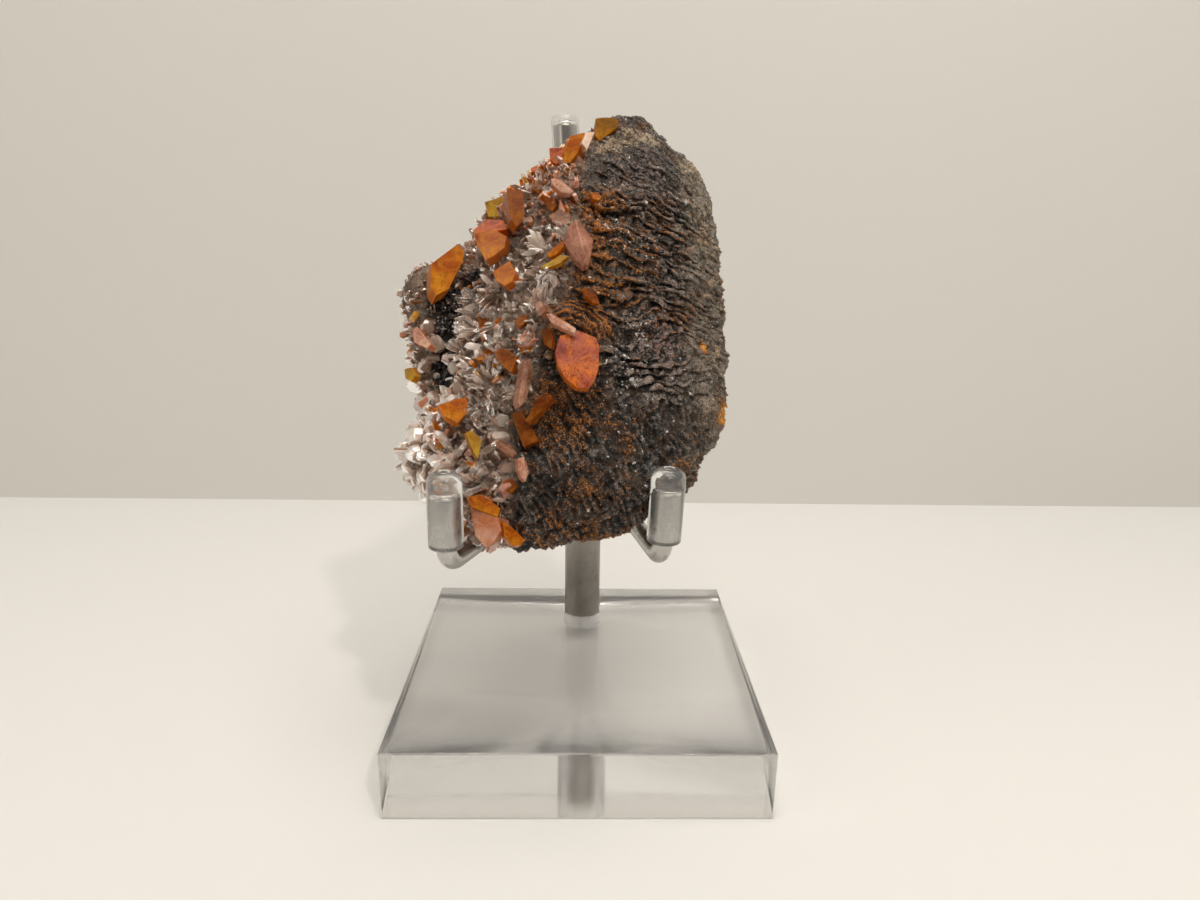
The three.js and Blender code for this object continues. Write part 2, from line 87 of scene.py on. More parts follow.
# the specimen's own leaning frame: x right, y back, z up the lean
specimen = {"at": (-2, -4, 62), "lean": 26.6}
leanFrame = (
    Matrix.Translation(Vector(specimen["at"]))
    @ Matrix.Rotation(-math.radians(specimen["lean"]), 4, "X")
)
fromLean = np.array(Matrix.Scale(mm, 4) @ leanFrame)
toLean = np.linalg.inv(fromLean)


def moved(points, matrix):
    return np.asarray(points) @ matrix[:3, :3].T + matrix[:3, 3]


def keptInside(points, margin):  # points held inside the solids' own box
    return np.clip(points, np.array(cadLow) + margin, np.array(cadHigh) - margin)


def turned(vectors, matrix):
    straight = np.asarray(vectors) @ matrix[:3, :3].T
    return straight / np.linalg.norm(straight, axis=1, keepdims=True)


# noise and masks over many points at once

slopeTable = np.random.default_rng(11).normal(size=(256, 3))
slopeTable /= np.linalg.norm(slopeTable, axis=1, keepdims=True)
hashPrimes = np.array([73856093, 19349663, 83492791])


def hashed(cells, salt=0):  # a number from 0 to 255 that belongs to each cell
    mixed = cells @ hashPrimes + 7919 * salt
    return (mixed ^ (mixed >> 9) ^ (mixed >> 17)) & 255


def smoothNoise(points, size, salt=0):
    scaled = np.asarray(points) / size + 17.31 * salt
    cell = np.floor(scaled).astype(np.int64)
    inside = scaled - cell
    fade = inside ** 3 * (inside * (inside * 6 - 15) + 10)
    total = np.zeros(len(scaled))
    for corner in itertools.product((0, 1), repeat=3):
        slope = slopeTable[hashed(cell + corner)]
        weight = np.prod(np.where(corner, fade, 1 - fade), axis=1)
        total += weight * np.einsum("ij,ij->i", slope, inside - corner)
    return total * 1.7


def ridgedNoise(points, size, salt=0):  # 1 along thin crests, falling to about -1 between them
    return 1 - 3 * np.abs(smoothNoise(points, size, salt))


def packedLumps(points, salt):  # lumps packed side by side: how far in from a lump's edge, and its own value
    cell = np.floor(points).astype(np.int64)
    nearest, second, value = np.full(len(points), 9.0), np.full(len(points), 9.0), np.zeros(len(points))
    for corner in itertools.product((-1, 0, 1), repeat=3):
        spot = cell + corner
        pick = hashed(spot, salt)
        far = np.linalg.norm(points - (spot + 0.5 + 0.42 * slopeTable[pick]), axis=1)
        closer = far < nearest
        second = np.where(closer, nearest, np.minimum(second, far))
        value = np.where(closer, pick / 255, value)
        nearest = np.where(closer, far, nearest)
    return second - nearest, value


def smoothStep(value, low, high):
    share = np.clip((value - low) / (high - low), 0, 1)
    return share * share * (3 - 2 * share)


def blob(points, at, reach):  # 1 at the given x, z and fading out over its reach
    far = ((points[:, 0] - at[0]) / reach[0]) ** 2 + ((points[:, 2] - at[1]) / reach[1]) ** 2
    return np.exp(-far)


# making pieces and reading their meshes

def newMesh(name, vertices, faces):
    mesh = bpy.data.meshes.new(name)
    mesh.from_pydata([tuple(v) for v in vertices], [], [tuple(f) for f in faces])
    mesh.update()
    return mesh


def addPiece(name, mesh, materials, slotName, *replaced):
    piece = bpy.data.objects.new(name, mesh)
    scene.collection.objects.link(piece)
    if materials:
        mesh.materials.clear()
        for material in materials:
            mesh.materials.append(material)
    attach(piece, "root")
    if replaced:
        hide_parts(*replaced)


def setShares(mesh, **shares):  # named values from 0 to 1 at each vertex, read by the materials
    for name, values in shares.items():
        attribute = mesh.attributes.new(name, "FLOAT", "POINT")
        attribute.data.foreach_set("value", np.asarray(values, np.float32))


def setPlaces(mesh, name, values):  # a named place at each vertex, read by the materials
    mesh.attributes.new(name, "FLOAT_VECTOR", "POINT").data.foreach_set("vector", values)


def readArray(items, name, width, kind=float):  # one row for each vertex, edge or face
    flat = np.zeros(len(items) * width, kind)
    items.foreach_get(name, flat)
    return flat.reshape(-1, width)


def setVertices(mesh, points):
    mesh.vertices.foreach_set("co", np.asarray(points, np.float32).ravel())
    mesh.update()


def modified(mesh, name, kind, **settings):  # the mesh with one modifier applied
    blank = bpy.data.objects.new("blank", mesh)
    scene.collection.objects.link(blank)
    modifier = blank.modifiers.new("change", kind)
    for key, value in settings.items():
        setattr(modifier, key, value)
    bpy.context.view_layer.update()
    made = bpy.data.meshes.new_from_object(blank.evaluated_get(bpy.context.evaluated_depsgraph_get()))
    made.name = name
    bpy.data.objects.remove(blank)
    return made


# shader helpers: each adds its nodes to the tree that was opened last

canvas = {}


def fill(sockets, values):
    for name, value in values.items():
        if isinstance(value, bpy.types.NodeSocket):
            canvas["tree"].links.new(value, sockets[name])
        elif sockets[name].type == "RGBA":
            sockets[name].default_value = (*value, 1)
        else:
            sockets[name].default_value = value


def put(kind, inputs=None, **settings):
    node = canvas["tree"].nodes.new("ShaderNode" + kind)
    for name, value in settings.items():
        setattr(node, name, value)
    fill(node.inputs, inputs or {})
    return node


def maths(operation, *values):
    return put("Math", dict(enumerate(values)), operation=operation).outputs[0]


def times(first, second):
    return maths("MULTIPLY", first, second)


def timesPlus(first, second, third):
    return maths("MULTIPLY_ADD", first, second, third)


def mixColor(share, first, second):
    return put("Mix", {0: share, 6: first, 7: second}, data_type="RGBA").outputs[2]


def layered(color, layers):  # each layer lies over the ones before it where its mask lets it
    for mask, layer in layers:
        color = mixColor(mask, color, layer)
    return color


def spread(value, low, high, outLow=0.0, outHigh=1.0):
    inputs = {"Value": value, "From Min": low, "From Max": high, "To Min": outLow, "To Max": outHigh}
    return put("MapRange", inputs).outputs[0]


def noise(place, scale, detail=2.0, rough=0.5, bend=0.0):
    inputs = {"Vector": place, "Scale": scale, "Detail": detail, "Roughness": rough, "Distortion": bend}
    return put("TexNoise", inputs).outputs["Fac"]


def share(name):
    return put("Attribute", attribute_name=name).outputs["Fac"]


def vectorShare(name):
    return put("Attribute", attribute_name=name).outputs["Vector"]


def objectPlace():
    return put("TexCoord").outputs["Object"]


def bump(height, depth):
    return put("Bump", {"Height": height, "Distance": depth * mm}).outputs["Normal"]


def newMaterial(name):
    material = bpy.data.materials.new(name)
    material.use_nodes = True
    canvas["tree"] = material.node_tree
    return material, material.node_tree.nodes["Principled BSDF"]


def newGroup(name, size, outputs, **inputs):  # every group reads a place and the size of its marks in mm
    tree = canvas["tree"] = bpy.data.node_groups.new(name, "ShaderNodeTree")
    tree.interface.new_socket("Vector", in_out="INPUT", socket_type="NodeSocketVector")
    for label, value in {"Size": size, **inputs}.items():
        socket = tree.interface.new_socket(label, in_out="INPUT", socket_type="NodeSocketFloat")
        socket.default_value = value
    for label in outputs:
        tree.interface.new_socket(label, in_out="OUTPUT", socket_type="NodeSocketFloat")
    start, end = tree.nodes.new("NodeGroupInput"), tree.nodes.new("NodeGroupOutput")
    return tree, start.outputs, end.inputs


def useGroup(group, **inputs):
    node = canvas["tree"].nodes.new("ShaderNodeGroup")
    node.node_tree = group
    fill(node.inputs, inputs)
    return node.outputs


# grain: small facets like packed crystals, with a random value for each of them
def makeGrain():
    tree, start, end = newGroup("crystalGrain", 0.4, ["Height", "Random", "Gap"])
    scale = maths("DIVIDE", 1 / mm, start["Size"])
    wobble = noise(start["Vector"], scale)
    cells = put("TexVoronoi", {"Vector": start["Vector"], "Scale": scale})
    gaps = put("TexVoronoi", {"Vector": start["Vector"], "Scale": scale}, feature="DISTANCE_TO_EDGE")
    split = put("SeparateColor", {"Color": cells.outputs["Color"]})
    height = timesPlus(wobble, 0.6, maths("SUBTRACT", 1.0, cells.outputs["Distance"]))
    fill(end, {
        "Height": timesPlus(split.outputs[0], 0.35, height),
        "Random": split.outputs[1],
        "Gap": spread(gaps.outputs["Distance"], 0.0, 0.18),
    })
    return tree


# flecks: patches that cover a given share of the surface, with ragged edges
def makeFlecks():
    tree, start, end = newGroup("flecks", 1.0, ["Mask"], Amount=0.5)
    scale = maths("DIVIDE", 1 / mm, start["Size"])
    cloud = noise(start["Vector"], scale, 5.0, 0.68)
    over = maths("SUBTRACT", cloud, spread(start["Amount"], 0.0, 1.0, 0.72, 0.28))
    fill(end, {"Mask": spread(over, -0.03, 0.05)})
    return tree


# smudges: soft handling marks and dust for the polished pieces
def makeSmudges():
    tree, start, end = newGroup("smudges", 8.0, ["Mask", "Dust"])
    scale = maths("DIVIDE", 1 / mm, start["Size"])
    cloud = noise(start["Vector"], scale, 4.0, 0.5, 0.8)
    specks = put("TexVoronoi", {"Vector": start["Vector"], "Scale": times(scale, 14.0)})
    chance = put("SeparateColor", {"Color": specks.outputs["Color"]}).outputs[0]
    dot = spread(specks.outputs["Distance"], 0.16, 0.1)
    fill(end, {"Mask": spread(cloud, 0.42, 0.75), "Dust": times(dot, spread(chance, 0.94, 0.96))})
    return tree


# drawn lines: the long fine marks of drawn rod and tube, from how far along and around it a point is
def makeDrawnLines():
    tree, start, end = newGroup("drawnLines", 1.0, ["Height", "Mask"], Across=30.0, Along=0.4)
    split = put("SeparateXYZ", {"Vector": start["Vector"]}).outputs
    across = [times(split[i], start["Across"]) for i in (0, 1)]
    place = put("CombineXYZ", {0: across[0], 1: across[1], 2: times(split[2], start["Along"])})
    lines = noise(place.outputs[0], maths("DIVIDE", 1.0, start["Size"]), 3.0)
    fill(end, {"Height": lines, "Mask": spread(lines, 0.35, 0.65)})
    return tree


grainGroup, fleckGroup, smudgeGroup, drawnGroup = makeGrain(), makeFlecks(), makeSmudges(), makeDrawnLines()

# how the stand's clear plastic, steel and drilled wall look
acrylicLook = {
    "ior": 1.491, "tint": (0.998, 0.998, 0.998), "rough": (0.05, 0.11), "clear": 0.95,
    "smudge": 9.0, "wave": 14, "relief": 0.02,
}
vinylLook = {
    "ior": 1.53, "tint": (0.96, 0.965, 0.955), "rough": (0.05, 0.13), "clear": 0.92,
    "smudge": 2.5, "wave": 1.6, "relief": 0.03,
}
postLook = {
    "dark": (0.25, 0.23, 0.205), "light": (0.36, 0.335, 0.305), "rough": (0.26, 0.42), "lines": 0.5,
    "smudge": 3.0, "relief": 0.024,
}
rodLook = {
    "dark": (0.38, 0.365, 0.345), "light": (0.66, 0.64, 0.61), "rough": (0.2, 0.36), "lines": 0.16,
    "smudge": 3.0, "relief": 0.024,
}
frostLook = {"tint": (0.93, 0.93, 0.92), "rough": (0.35, 0.6), "grain": 0.25, "relief": 0.02}


def makeClear(name, look):
    material, shader = newMaterial(name)
    place = objectPlace()
    smudge = useGroup(smudgeGroup, Vector=place, Size=look["smudge"])
    marks = maths("MAXIMUM", smudge["Mask"], smudge["Dust"])
    wave = noise(place, 1 / (look["wave"] * mm), 1.0)
    fill(shader.inputs, {
        "Base Color": look["tint"],
        "Roughness": spread(marks, 0.0, 1.0, *look["rough"]),
        "IOR": look["ior"],
        "Transmission Weight": look["clear"],
        "Normal": bump(wave, look["relief"]),
    })
    return material


def makeSteel(name, look):
    material, shader = newMaterial(name)
    spot = vectorShare("drawnPlace")
    lines = useGroup(drawnGroup, Vector=spot)
    smudge = useGroup(smudgeGroup, Vector=objectPlace(), Size=look["smudge"])
    drawn = timesPlus(lines["Mask"], look["lines"], 0.25 - 0.5 * look["lines"])
    tone = timesPlus(smudge["Mask"], 0.5, drawn)
    fill(shader.inputs, {
        "Base Color": mixColor(tone, look["dark"], look["light"]),
        "Metallic": 1.0,
        "Roughness": spread(tone, 0.0, 1.0, *look["rough"]),
        "Normal": bump(lines["Height"], look["relief"] * look["lines"]),
    })
    return material


def makeFrost(name):  # the drill leaves the hole's wall and tip frosted
    material, shader = newMaterial(name)
    grain = useGroup(grainGroup, Vector=objectPlace(), Size=frostLook["grain"])
    fill(shader.inputs, {
        "Base Color": frostLook["tint"],
        "Roughness": spread(grain["Random"], 0.0, 1.0, *frostLook["rough"]),
        "IOR": acrylicLook["ior"],
        "Transmission Weight": 1.0,
        "Normal": bump(grain["Height"], frostLook["relief"]),
    })
    return material


acrylic = makeClear("polishedAcrylic", acrylicLook)
drilled = makeFrost("drilledAcrylic")
vinyl = makeClear("clearVinyl", vinylLook)
postSteel = makeSteel("postSteel", postLook)
rodSteel = makeSteel("rodSteel", rodLook)

# the stand's sizes in mm
blockShape = {
    "edge": 0.25, "edgeSteps": 3, "holeWidth": 6.3, "holeDepth": 5.6, "drillTip": 1.2, "wallReach": 0.05,
    "sharp": 32,
}
postShape = {"at": (0.4, 16.5), "bore": 5.5, "boreDepth": 12, "sides": 72, "edge": 0.2, "sharp": 40}
rodShape = {
    "width": 2.4, "sides": 28, "gather": 1.45, "foot": 21, "armHeight": 35,
    "hubBend": 3, "tipBend": 2.4, "bendSteps": 14, "end": 43.7, "endRound": 0.45, "sharp": 50,
}
frontArms = {
    "left": {"corner": (-15.9, -25.1), "gatherAngle": 230, "splay": 0},
    "right": {"corner": (9.9, -22.7), "gatherAngle": -10, "splay": 2.5},
}
backArm = {"gatherAngle": 110, "tip": (-3.05, 16.6, 90.5), "roof": 1.1}
# the dome is the top's corner radius, which leaves a small flat on the crown for a moulded ring
capShape = {
    "width": 4.2, "length": 9.2, "bore": 2.3, "roof": 2.5, "lip": 0.25, "sides": 56, "gap": 0.3,
    "dome": 1.25, "ring": 0.62, "groove": 0.1, "sharp": 50,
}


def ringFaces(rings):  # the faces between each ring of vertices and the next
    faces = []
    for low, high in zip(rings, rings[1:]):
        for k in range(len(low)):
            n = (k + 1) % len(low)
            faces.append(list(dict.fromkeys([low[k], low[n], high[n], high[k]])))
    return faces


def latheMesh(name, profile, sides):
    vertices, rings = [], []
    for radius, height in profile:
        if radius < 1e-6:
            vertices.append((0, 0, height))
            rings.append([len(vertices) - 1] * sides)
            continue
        rings.append([len(vertices) + k for k in range(sides)])
        for k in range(sides):
            angle = 2 * math.pi * k / sides
            vertices.append((radius * math.cos(angle), radius * math.sin(angle), height))
    return newMesh(name, vertices, ringFaces(rings))


def roundCorner(centre, radius, fromAngle, toAngle, steps):
    turns = [math.radians(fromAngle + (toAngle - fromAngle) * k / steps) for k in range(steps + 1)]
    return [(centre[0] + radius * math.cos(t), centre[1] + radius * math.sin(t)) for t in turns]


def drawnPlaces(mesh, along, radius):  # where each point is around and along its rod, in mm
    values = []
    for k in range(len(mesh.vertices)):
        angle, distance = along(k)
        values += [radius * math.cos(angle), radius * math.sin(angle), distance]
    setPlaces(mesh, "drawnPlace", values)


def finishSmooth(mesh, sharpAngle):
    mesh.shade_smooth()
    mesh.set_sharp_from_angle(angle=math.radians(sharpAngle))


def makeBlock():
    low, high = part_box("base_block")
    body = bmesh.new()
    bmesh.ops.create_cube(body, size=1)
    bmesh.ops.scale(body, vec=high - low, verts=body.verts)
    bmesh.ops.translate(body, vec=(low + high) / 2, verts=body.verts)
    bmesh.ops.bevel(
        body, geom=body.edges, offset=blockShape["edge"] * mm, segments=blockShape["edgeSteps"],
        profile=0.5, affect="EDGES",
    )
    mesh = bpy.data.meshes.new("blank")
    body.to_mesh(mesh)
    body.free()
    top = high.z / mm
    floorLevel = top - blockShape["holeDepth"]
    radius = blockShape["holeWidth"] / 2
    drill = bpy.data.objects.new("drillBit", latheMesh("drillBit", [
        (0, floorLevel - blockShape["drillTip"]), (radius, floorLevel), (radius, top + 1), (0, top + 1),
    ], postShape["sides"]))
    drill.data.transform(Matrix.Scale(mm, 4) @ Matrix.Translation((*postShape["at"], 0)))
    scene.collection.objects.link(drill)
    made = modified(mesh, "clear_block", "BOOLEAN", object=drill, solver="EXACT")
    bpy.data.objects.remove(drill)
    finishSmooth(made, blockShape["sharp"])
    addPiece("clear_block", made, [acrylic, drilled], "acrylic", "base_block")
    axis = Vector(postShape["at"]) * mm
    reach = blockShape["wallReach"]
    for face in made.polygons:
        off = face.center.xy - axis
        if off.length < (radius + reach) * mm and face.center.z < (top - reach) * mm:
            face.material_index = 1


def makePost():
    low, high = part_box("post")
    outer = (high.x - low.x) / 2 / mm
    inner = postShape["bore"] / 2
    edge = postShape["edge"]
    bottom, top = low.z / mm, high.z / mm
    profile = [(0, bottom)] + roundCorner((outer - edge, bottom + edge), edge, -90, 0, 4)
    profile += roundCorner((outer - edge / 2, top - edge / 2), edge / 2, 0, 90, 4)
    profile += [(inner, top), (inner, top - postShape["boreDepth"]), (0, top - postShape["boreDepth"])]
    mesh = latheMesh("post_tube", profile, postShape["sides"])
    points = readArray(mesh.vertices, "co", 3)
    drawnPlaces(mesh, lambda k: (math.atan2(points[k, 1], points[k, 0]), points[k, 2]), outer)
    mesh.transform(Matrix.Scale(mm, 4) @ Matrix.Translation((*postShape["at"], 0)))
    finishSmooth(mesh, postShape["sharp"])
    addPiece("post_tube", mesh, [postSteel], "steel", "post")


def bentPath(corners, radii):  # a path through the corners, with each one rounded to its bend
    path = [corners[0]]
    for i in range(1, len(corners) - 1):
        before = (corners[i] - corners[i - 1]).normalized()
        after = (corners[i + 1] - corners[i]).normalized()
        angle = before.angle(after)
        radius = radii[i - 1]
        inward = (after - before * before.dot(after)).normalized()
        start = corners[i] - before * radius * math.tan(angle / 2)
        for k in range(rodShape["bendSteps"] + 1):
            turn = angle * k / rodShape["bendSteps"]
            path.append(start + before * radius * math.sin(turn) + inward * radius * (1 - math.cos(turn)))
    return path + [corners[-1]]


def sweepRod(name, path):
    sides, radius, cut = rodShape["sides"], rodShape["width"] / 2, rodShape["endRound"]
    last = (path[-1] - path[-2]).normalized()
    rings = [(point, radius) for point in path[:-1]]
    for rim, forward in roundCorner((radius - cut, -cut), cut, 0, 90, 5):  # the end's rounded rim
        rings.append((path[-1] + last * forward, rim))
    side = (path[1] - path[0]).normalized().orthogonal().normalized()
    vertices, along, distance = [], [], 0
    for i, (centre, rim) in enumerate(rings):
        before = rings[max(i - 1, 0)][0]
        ahead = last if i >= len(path) - 1 else (rings[i + 1][0] - before).normalized()
        side = (side - ahead * side.dot(ahead)).normalized()
        up = ahead.cross(side)
        distance += (centre - before).length
        for k in range(sides):
            angle = 2 * math.pi * k / sides
            vertices.append(centre + (side * math.cos(angle) + up * math.sin(angle)) * rim)
            along.append((angle, distance))
    numbers = np.arange(len(vertices)).reshape(-1, sides).tolist()
    mesh = newMesh(name, vertices, ringFaces(numbers) + [numbers[0][::-1], numbers[-1]])
    drawnPlaces(mesh, lambda k: along[k], radius)
    mesh.transform(Matrix.Scale(mm, 4))
    finishSmooth(mesh, rodShape["sharp"])
    return mesh


def capMesh(name, roofThick):
    outer, inner = capShape["width"] / 2, capShape["bore"] / 2
    length, lip = capShape["length"], capShape["lip"]
    roof = length - roofThick
    profile = [(0, roof), (inner - 0.4, roof)] + roundCorner((inner - 0.4, roof - 0.4), 0.4, 90, 0, 4)
    profile += [(inner, 0.1), (inner + 0.1, 0), (outer - lip, 0)]
    profile += roundCorner((outer - lip, lip), lip, -90, 0, 4)[1:]
    dome = capShape["dome"]
    profile += roundCorner((outer - dome, length - dome), dome, 0, 82, 12)
    ring, groove = capShape["ring"], capShape["groove"]
    profile += [(ring + 0.12, length), (ring, length - groove), (ring - 0.12, length), (0, length)]
    mesh = latheMesh(name, profile, capShape["sides"])
    body = bmesh.new()
    body.from_mesh(mesh)
    bmesh.ops.recalc_face_normals(body, faces=body.faces)
    body.to_mesh(mesh)
    body.free()
    return mesh


def addRodAndCap(label, corners, radii, rodNode, capNode, roof):
    path = bentPath(corners, radii)
    addPiece(f"rod_{label}", sweepRod(f"rod_{label}", path), [rodSteel], "steel", rodNode)
    along = (corners[-1] - corners[-2]).normalized()
    foot = corners[-1] + along * (roof + capShape["gap"] - capShape["length"])
    mesh = capMesh(f"cap_{label}", roof)
    turn = along.to_track_quat("Z", "Y").to_matrix().to_4x4()
    mesh.transform(Matrix.Scale(mm, 4) @ Matrix.Translation(foot) @ turn)
    finishSmooth(mesh, capShape["sharp"])
    addPiece(f"cap_{label}", mesh, [vinyl], "clear_vinyl", capNode)


def rodFoot(angle):
    spin = math.radians(angle)
    x, y = postShape["at"]
    gather = rodShape["gather"]
    return Vector((x + gather * math.cos(spin), y + gather * math.sin(spin), rodShape["foot"]))


def makeStand():
    makeBlock()
    makePost()
    height = rodShape["armHeight"]
    for side, arm in frontArms.items():
        foot = rodFoot(arm["gatherAngle"])
        knee = Vector((foot.x, foot.y, height))
        corner = Vector((*arm["corner"], height))
        rise = rodShape["end"] - height
        tip = corner + Vector((rise * math.tan(math.radians(arm["splay"])), 0, rise))
        radii = [rodShape["hubBend"], rodShape["tipBend"]]
        corners = [foot, knee, corner, tip]
        addRodAndCap(side, corners, radii, f"arm_front_{side}", f"tip_front_{side}", capShape["roof"])
    foot = rodFoot(backArm["gatherAngle"])
    knee = Vector((foot.x, foot.y, height))
    capTop = Vector(backArm["tip"])
    rodTop = capTop - (capTop - knee).normalized() * (backArm["roof"] + capShape["gap"])
    addRodAndCap("rear", [foot, knee, rodTop], [rodShape["hubBend"]], "arm_back", "tip_back", backArm["roof"])


makeStand()
print("stand built")

# the rock: relief sizes in mm on the solid's own form
rockShape = {
    "voxel": 0.36, "soften": 12, "socketReach": 0.75, "socketRounds": 160,
    "ribPitch": 1.55, "ribRise": 1.2, "fineRibRise": 0.26, "ribDroop": 0.75, "ribWander": 1.0,
    "blockLong": 2.6, "blockHigh": 1.1, "blockRise": 0.34, "blockStep": 0.6, "crumbSize": 0.46,
    "crumbRise": 0.1, "noduleSize": 2.6, "noduleRise": 0.24, "lumpRise": 0.62, "grainRise": 0.15,
    "fineRise": 0.14, "streakRise": 0.24, "knobRise": 0.2,
    "arcAt": (0.3, -7.4), "arcPitch": 0.72, "arcRise": 0.34, "arcReach": (1.8, 6.2),
    "pitRise": 0.5, "reliefRounds": 14, "reliefSpan": 0.62, "mostTriangles": 194000, "boxKeep": 1e-5,
    "frontTurn": 0.35, "frontEdge": -1.5, "softenStep": 0.5, "reliefStep": 0.6,
    "fanOver": 0.03, "fanMost": 0.9, "fanUnder": 0.16, "fanFoot": 20,
}
# the druse ends along this line: x at each height, from the foot up
druseEdge = {
    "z": (-29, -22, -18, -14, -6, -2, 4, 13, 26),
    "x": (-7.2, -6, -7, -4.6, -3.2, -0.6, 1.4, 0.6, 3.2),
}
valleyLine = [(-12.7, 2.6), (-16.2, 1.2), (-15.6, -3.2), (-15.4, -9.5)]


def edgeDistance(points):  # how far right of the druse's edge a point is
    return points[:, 0] - np.interp(points[:, 2], druseEdge["z"], druseEdge["x"])


def lineDistance(points, line):
    best = np.full(len(points), 1e9)
    place = points[:, [0, 2]]
    for start, end in zip(np.array(line[:-1]), np.array(line[1:])):
        side = end - start
        along = np.clip((place - start) @ side / (side @ side), 0, 1)
        best = np.minimum(best, np.linalg.norm(place - start - along[:, None] * side, axis=1))
    return best


def layerOf(points):  # which growth layer a point is on: the layers fan out to the right
    x, z = np.maximum(points[:, 0] - 1, 0), points[:, 2]
    level = z.copy()
    for _ in range(4):
        over = -np.minimum(rockShape["fanOver"] * level, rockShape["fanMost"])
        under = rockShape["fanUnder"] * np.sin(np.pi * np.clip(-level / rockShape["fanFoot"], 0, 1))
        level = z - x * np.where(level > 0, over, under)
    return level


def neighbourMean(values, edges, counts):
    total = np.zeros_like(values)
    for axis in range(values.shape[1]):
        total[:, axis] = np.bincount(edges[:, 0], values[edges[:, 1], axis], len(values))
        total[:, axis] += np.bincount(edges[:, 1], values[edges[:, 0], axis], len(values))
    return total / counts[:, None]


def smoothed(mesh, points, rounds, step, chosen=slice(None)):  # points drawn towards their neighbours
    edges = readArray(mesh.edges, "vertices", 2, np.int32)
    counts = np.bincount(edges.ravel(), minlength=len(points)).astype(float)
    for _ in range(rounds):
        points[chosen] += step * (neighbourMean(points, edges, counts) - points)[chosen]
    return points


def crystalTree():  # the surface of every wulfenite solid, to fill the sockets behind them
    vertices, faces = [], []
    for name, node in cadNodes.items():
        if name.startswith("wulfenite_"):
            start = len(vertices)
            vertices += [v.co.copy() for v in node.data.vertices]
            faces += [[start + k for k in p.vertices] for p in node.data.polygons]
    return BVHTree.FromPolygons(vertices, faces)


wulfeniteTree = crystalTree()


def nearCrystals(points, reach):
    found = [wulfeniteTree.find_nearest(Vector(p), reach * mm)[3] for p in points]
    return np.array([distance is not None for distance in found])


def rockBlank():  # the solid rock as an even mesh, softened, with its crystal sockets filled
    solid = cadNodes["matrix"].data.copy()
    mesh = modified(solid, "rock_matrix", "REMESH", mode="VOXEL", voxel_size=rockShape["voxel"] * mm)
    points = readArray(mesh.vertices, "co", 3)
    socket = nearCrystals(points, rockShape["socketReach"])
    points = smoothed(mesh, points, rockShape["socketRounds"], 1.0, socket)
    setVertices(mesh, smoothed(mesh, points, rockShape["soften"], rockShape["softenStep"]))
    return mesh


def refineFront(mesh):  # halves the mesh size on the open front, where the ribs are
    body = bmesh.new()
    body.from_mesh(mesh)
    back = Vector(fromLean[:3, 1]).normalized()
    tell = Matrix(toLean.tolist())
    chosen = []
    for face in body.faces:
        place = tell @ face.calc_center_median()
        edge = place.x - np.interp(place.z, druseEdge["z"], druseEdge["x"])
        if face.normal.dot(back) < rockShape["frontTurn"] and edge > rockShape["frontEdge"]:
            chosen.append(face)
    sides = list({edge for face in chosen for edge in face.edges})
    bmesh.ops.subdivide_edges(body, edges=sides, cuts=1, use_grid_fill=True, smooth=0.0)
    bmesh.ops.triangulate(body, faces=[f for f in body.faces if len(f.verts) > 4])
    body.to_mesh(mesh)
    body.free()
    return mesh


def layerPhase(local):  # counts the layers from the foot up, wavering along their length
    slack = local * (0.62, 0.5, 1)
    wander = 1.5 * smoothNoise(slack, 5.6, 3) + 0.62 * smoothNoise(slack, 2.3, 4)
    wander += 0.2 * smoothNoise(slack, 1.0, 6)
    return layerOf(local) / rockShape["ribPitch"] + wander * rockShape["ribWander"]


def shingles(phase, local, salt):  # each layer hangs over a gap, and is broken along its length
    layer = np.floor(phase)
    key = np.column_stack([local[:, 0] / 3.3, local[:, 1] / 3.3, layer * 5.73])
    part = phase - layer
    strength = np.clip(0.72 + 1.05 * smoothNoise(key, 1, salt), 0.12, 1.3)
    strength *= 0.8 + 0.45 * smoothNoise(key * 3.1, 1, salt + 1)
    lip = 0.2 + 0.1 * smoothNoise(key * 1.7, 1, salt + 2)
    return strength * smoothStep(part / lip, 0.0, 1.0) * (1 - 0.85 * part ** 1.3)


def arcHeight(local):
    at, reach = rockShape["arcAt"], rockShape["arcReach"]
    x, z = local[:, 0] - at[0], local[:, 2] - at[1]
    far = np.hypot(x, z * 1.1) + 0.4 * smoothNoise(local, 1.6, 8)
    ring = 0.5 + 0.5 * np.cos(2 * np.pi * far / rockShape["arcPitch"])
    inside = smoothStep(far, reach[0], reach[0] + 0.8) * smoothStep(-far, -reach[1], -reach[1] + 1.6)
    return ring, inside * smoothStep(z, -0.5, 1.5)


def zones(local, facing):  # how much of each surface form there is at each point
    x, z = local[:, 0], local[:, 2]
    edge = edgeDistance(local)
    front = smoothStep(-facing[:, 1], -0.35, 0.1)
    right = smoothStep(edge, -0.3, 1.4)
    low = smoothStep(-(z + 0.25 * x), 9.5, 14)
    ribs = front * right * (1 - low) * (1 - 0.62 * smoothStep(x, 13, 17.5))
    ribs *= 1 - 0.6 * smoothStep(z - 0.25 * x, 10, 18)
    ring, arcs = arcHeight(local)
    flank = np.clip(smoothStep(x, 13, 17) + (1 - front), 0, 1)
    valley = smoothStep(-lineDistance(local, valleyLine), -3.1, -1.6) * front
    return {"edge": edge, "front": front, "ribs": ribs * (1 - arcs), "ring": ring, "arcs": arcs * right,
            "flank": flank, "low": low * front * right, "valley": valley, "right": right}


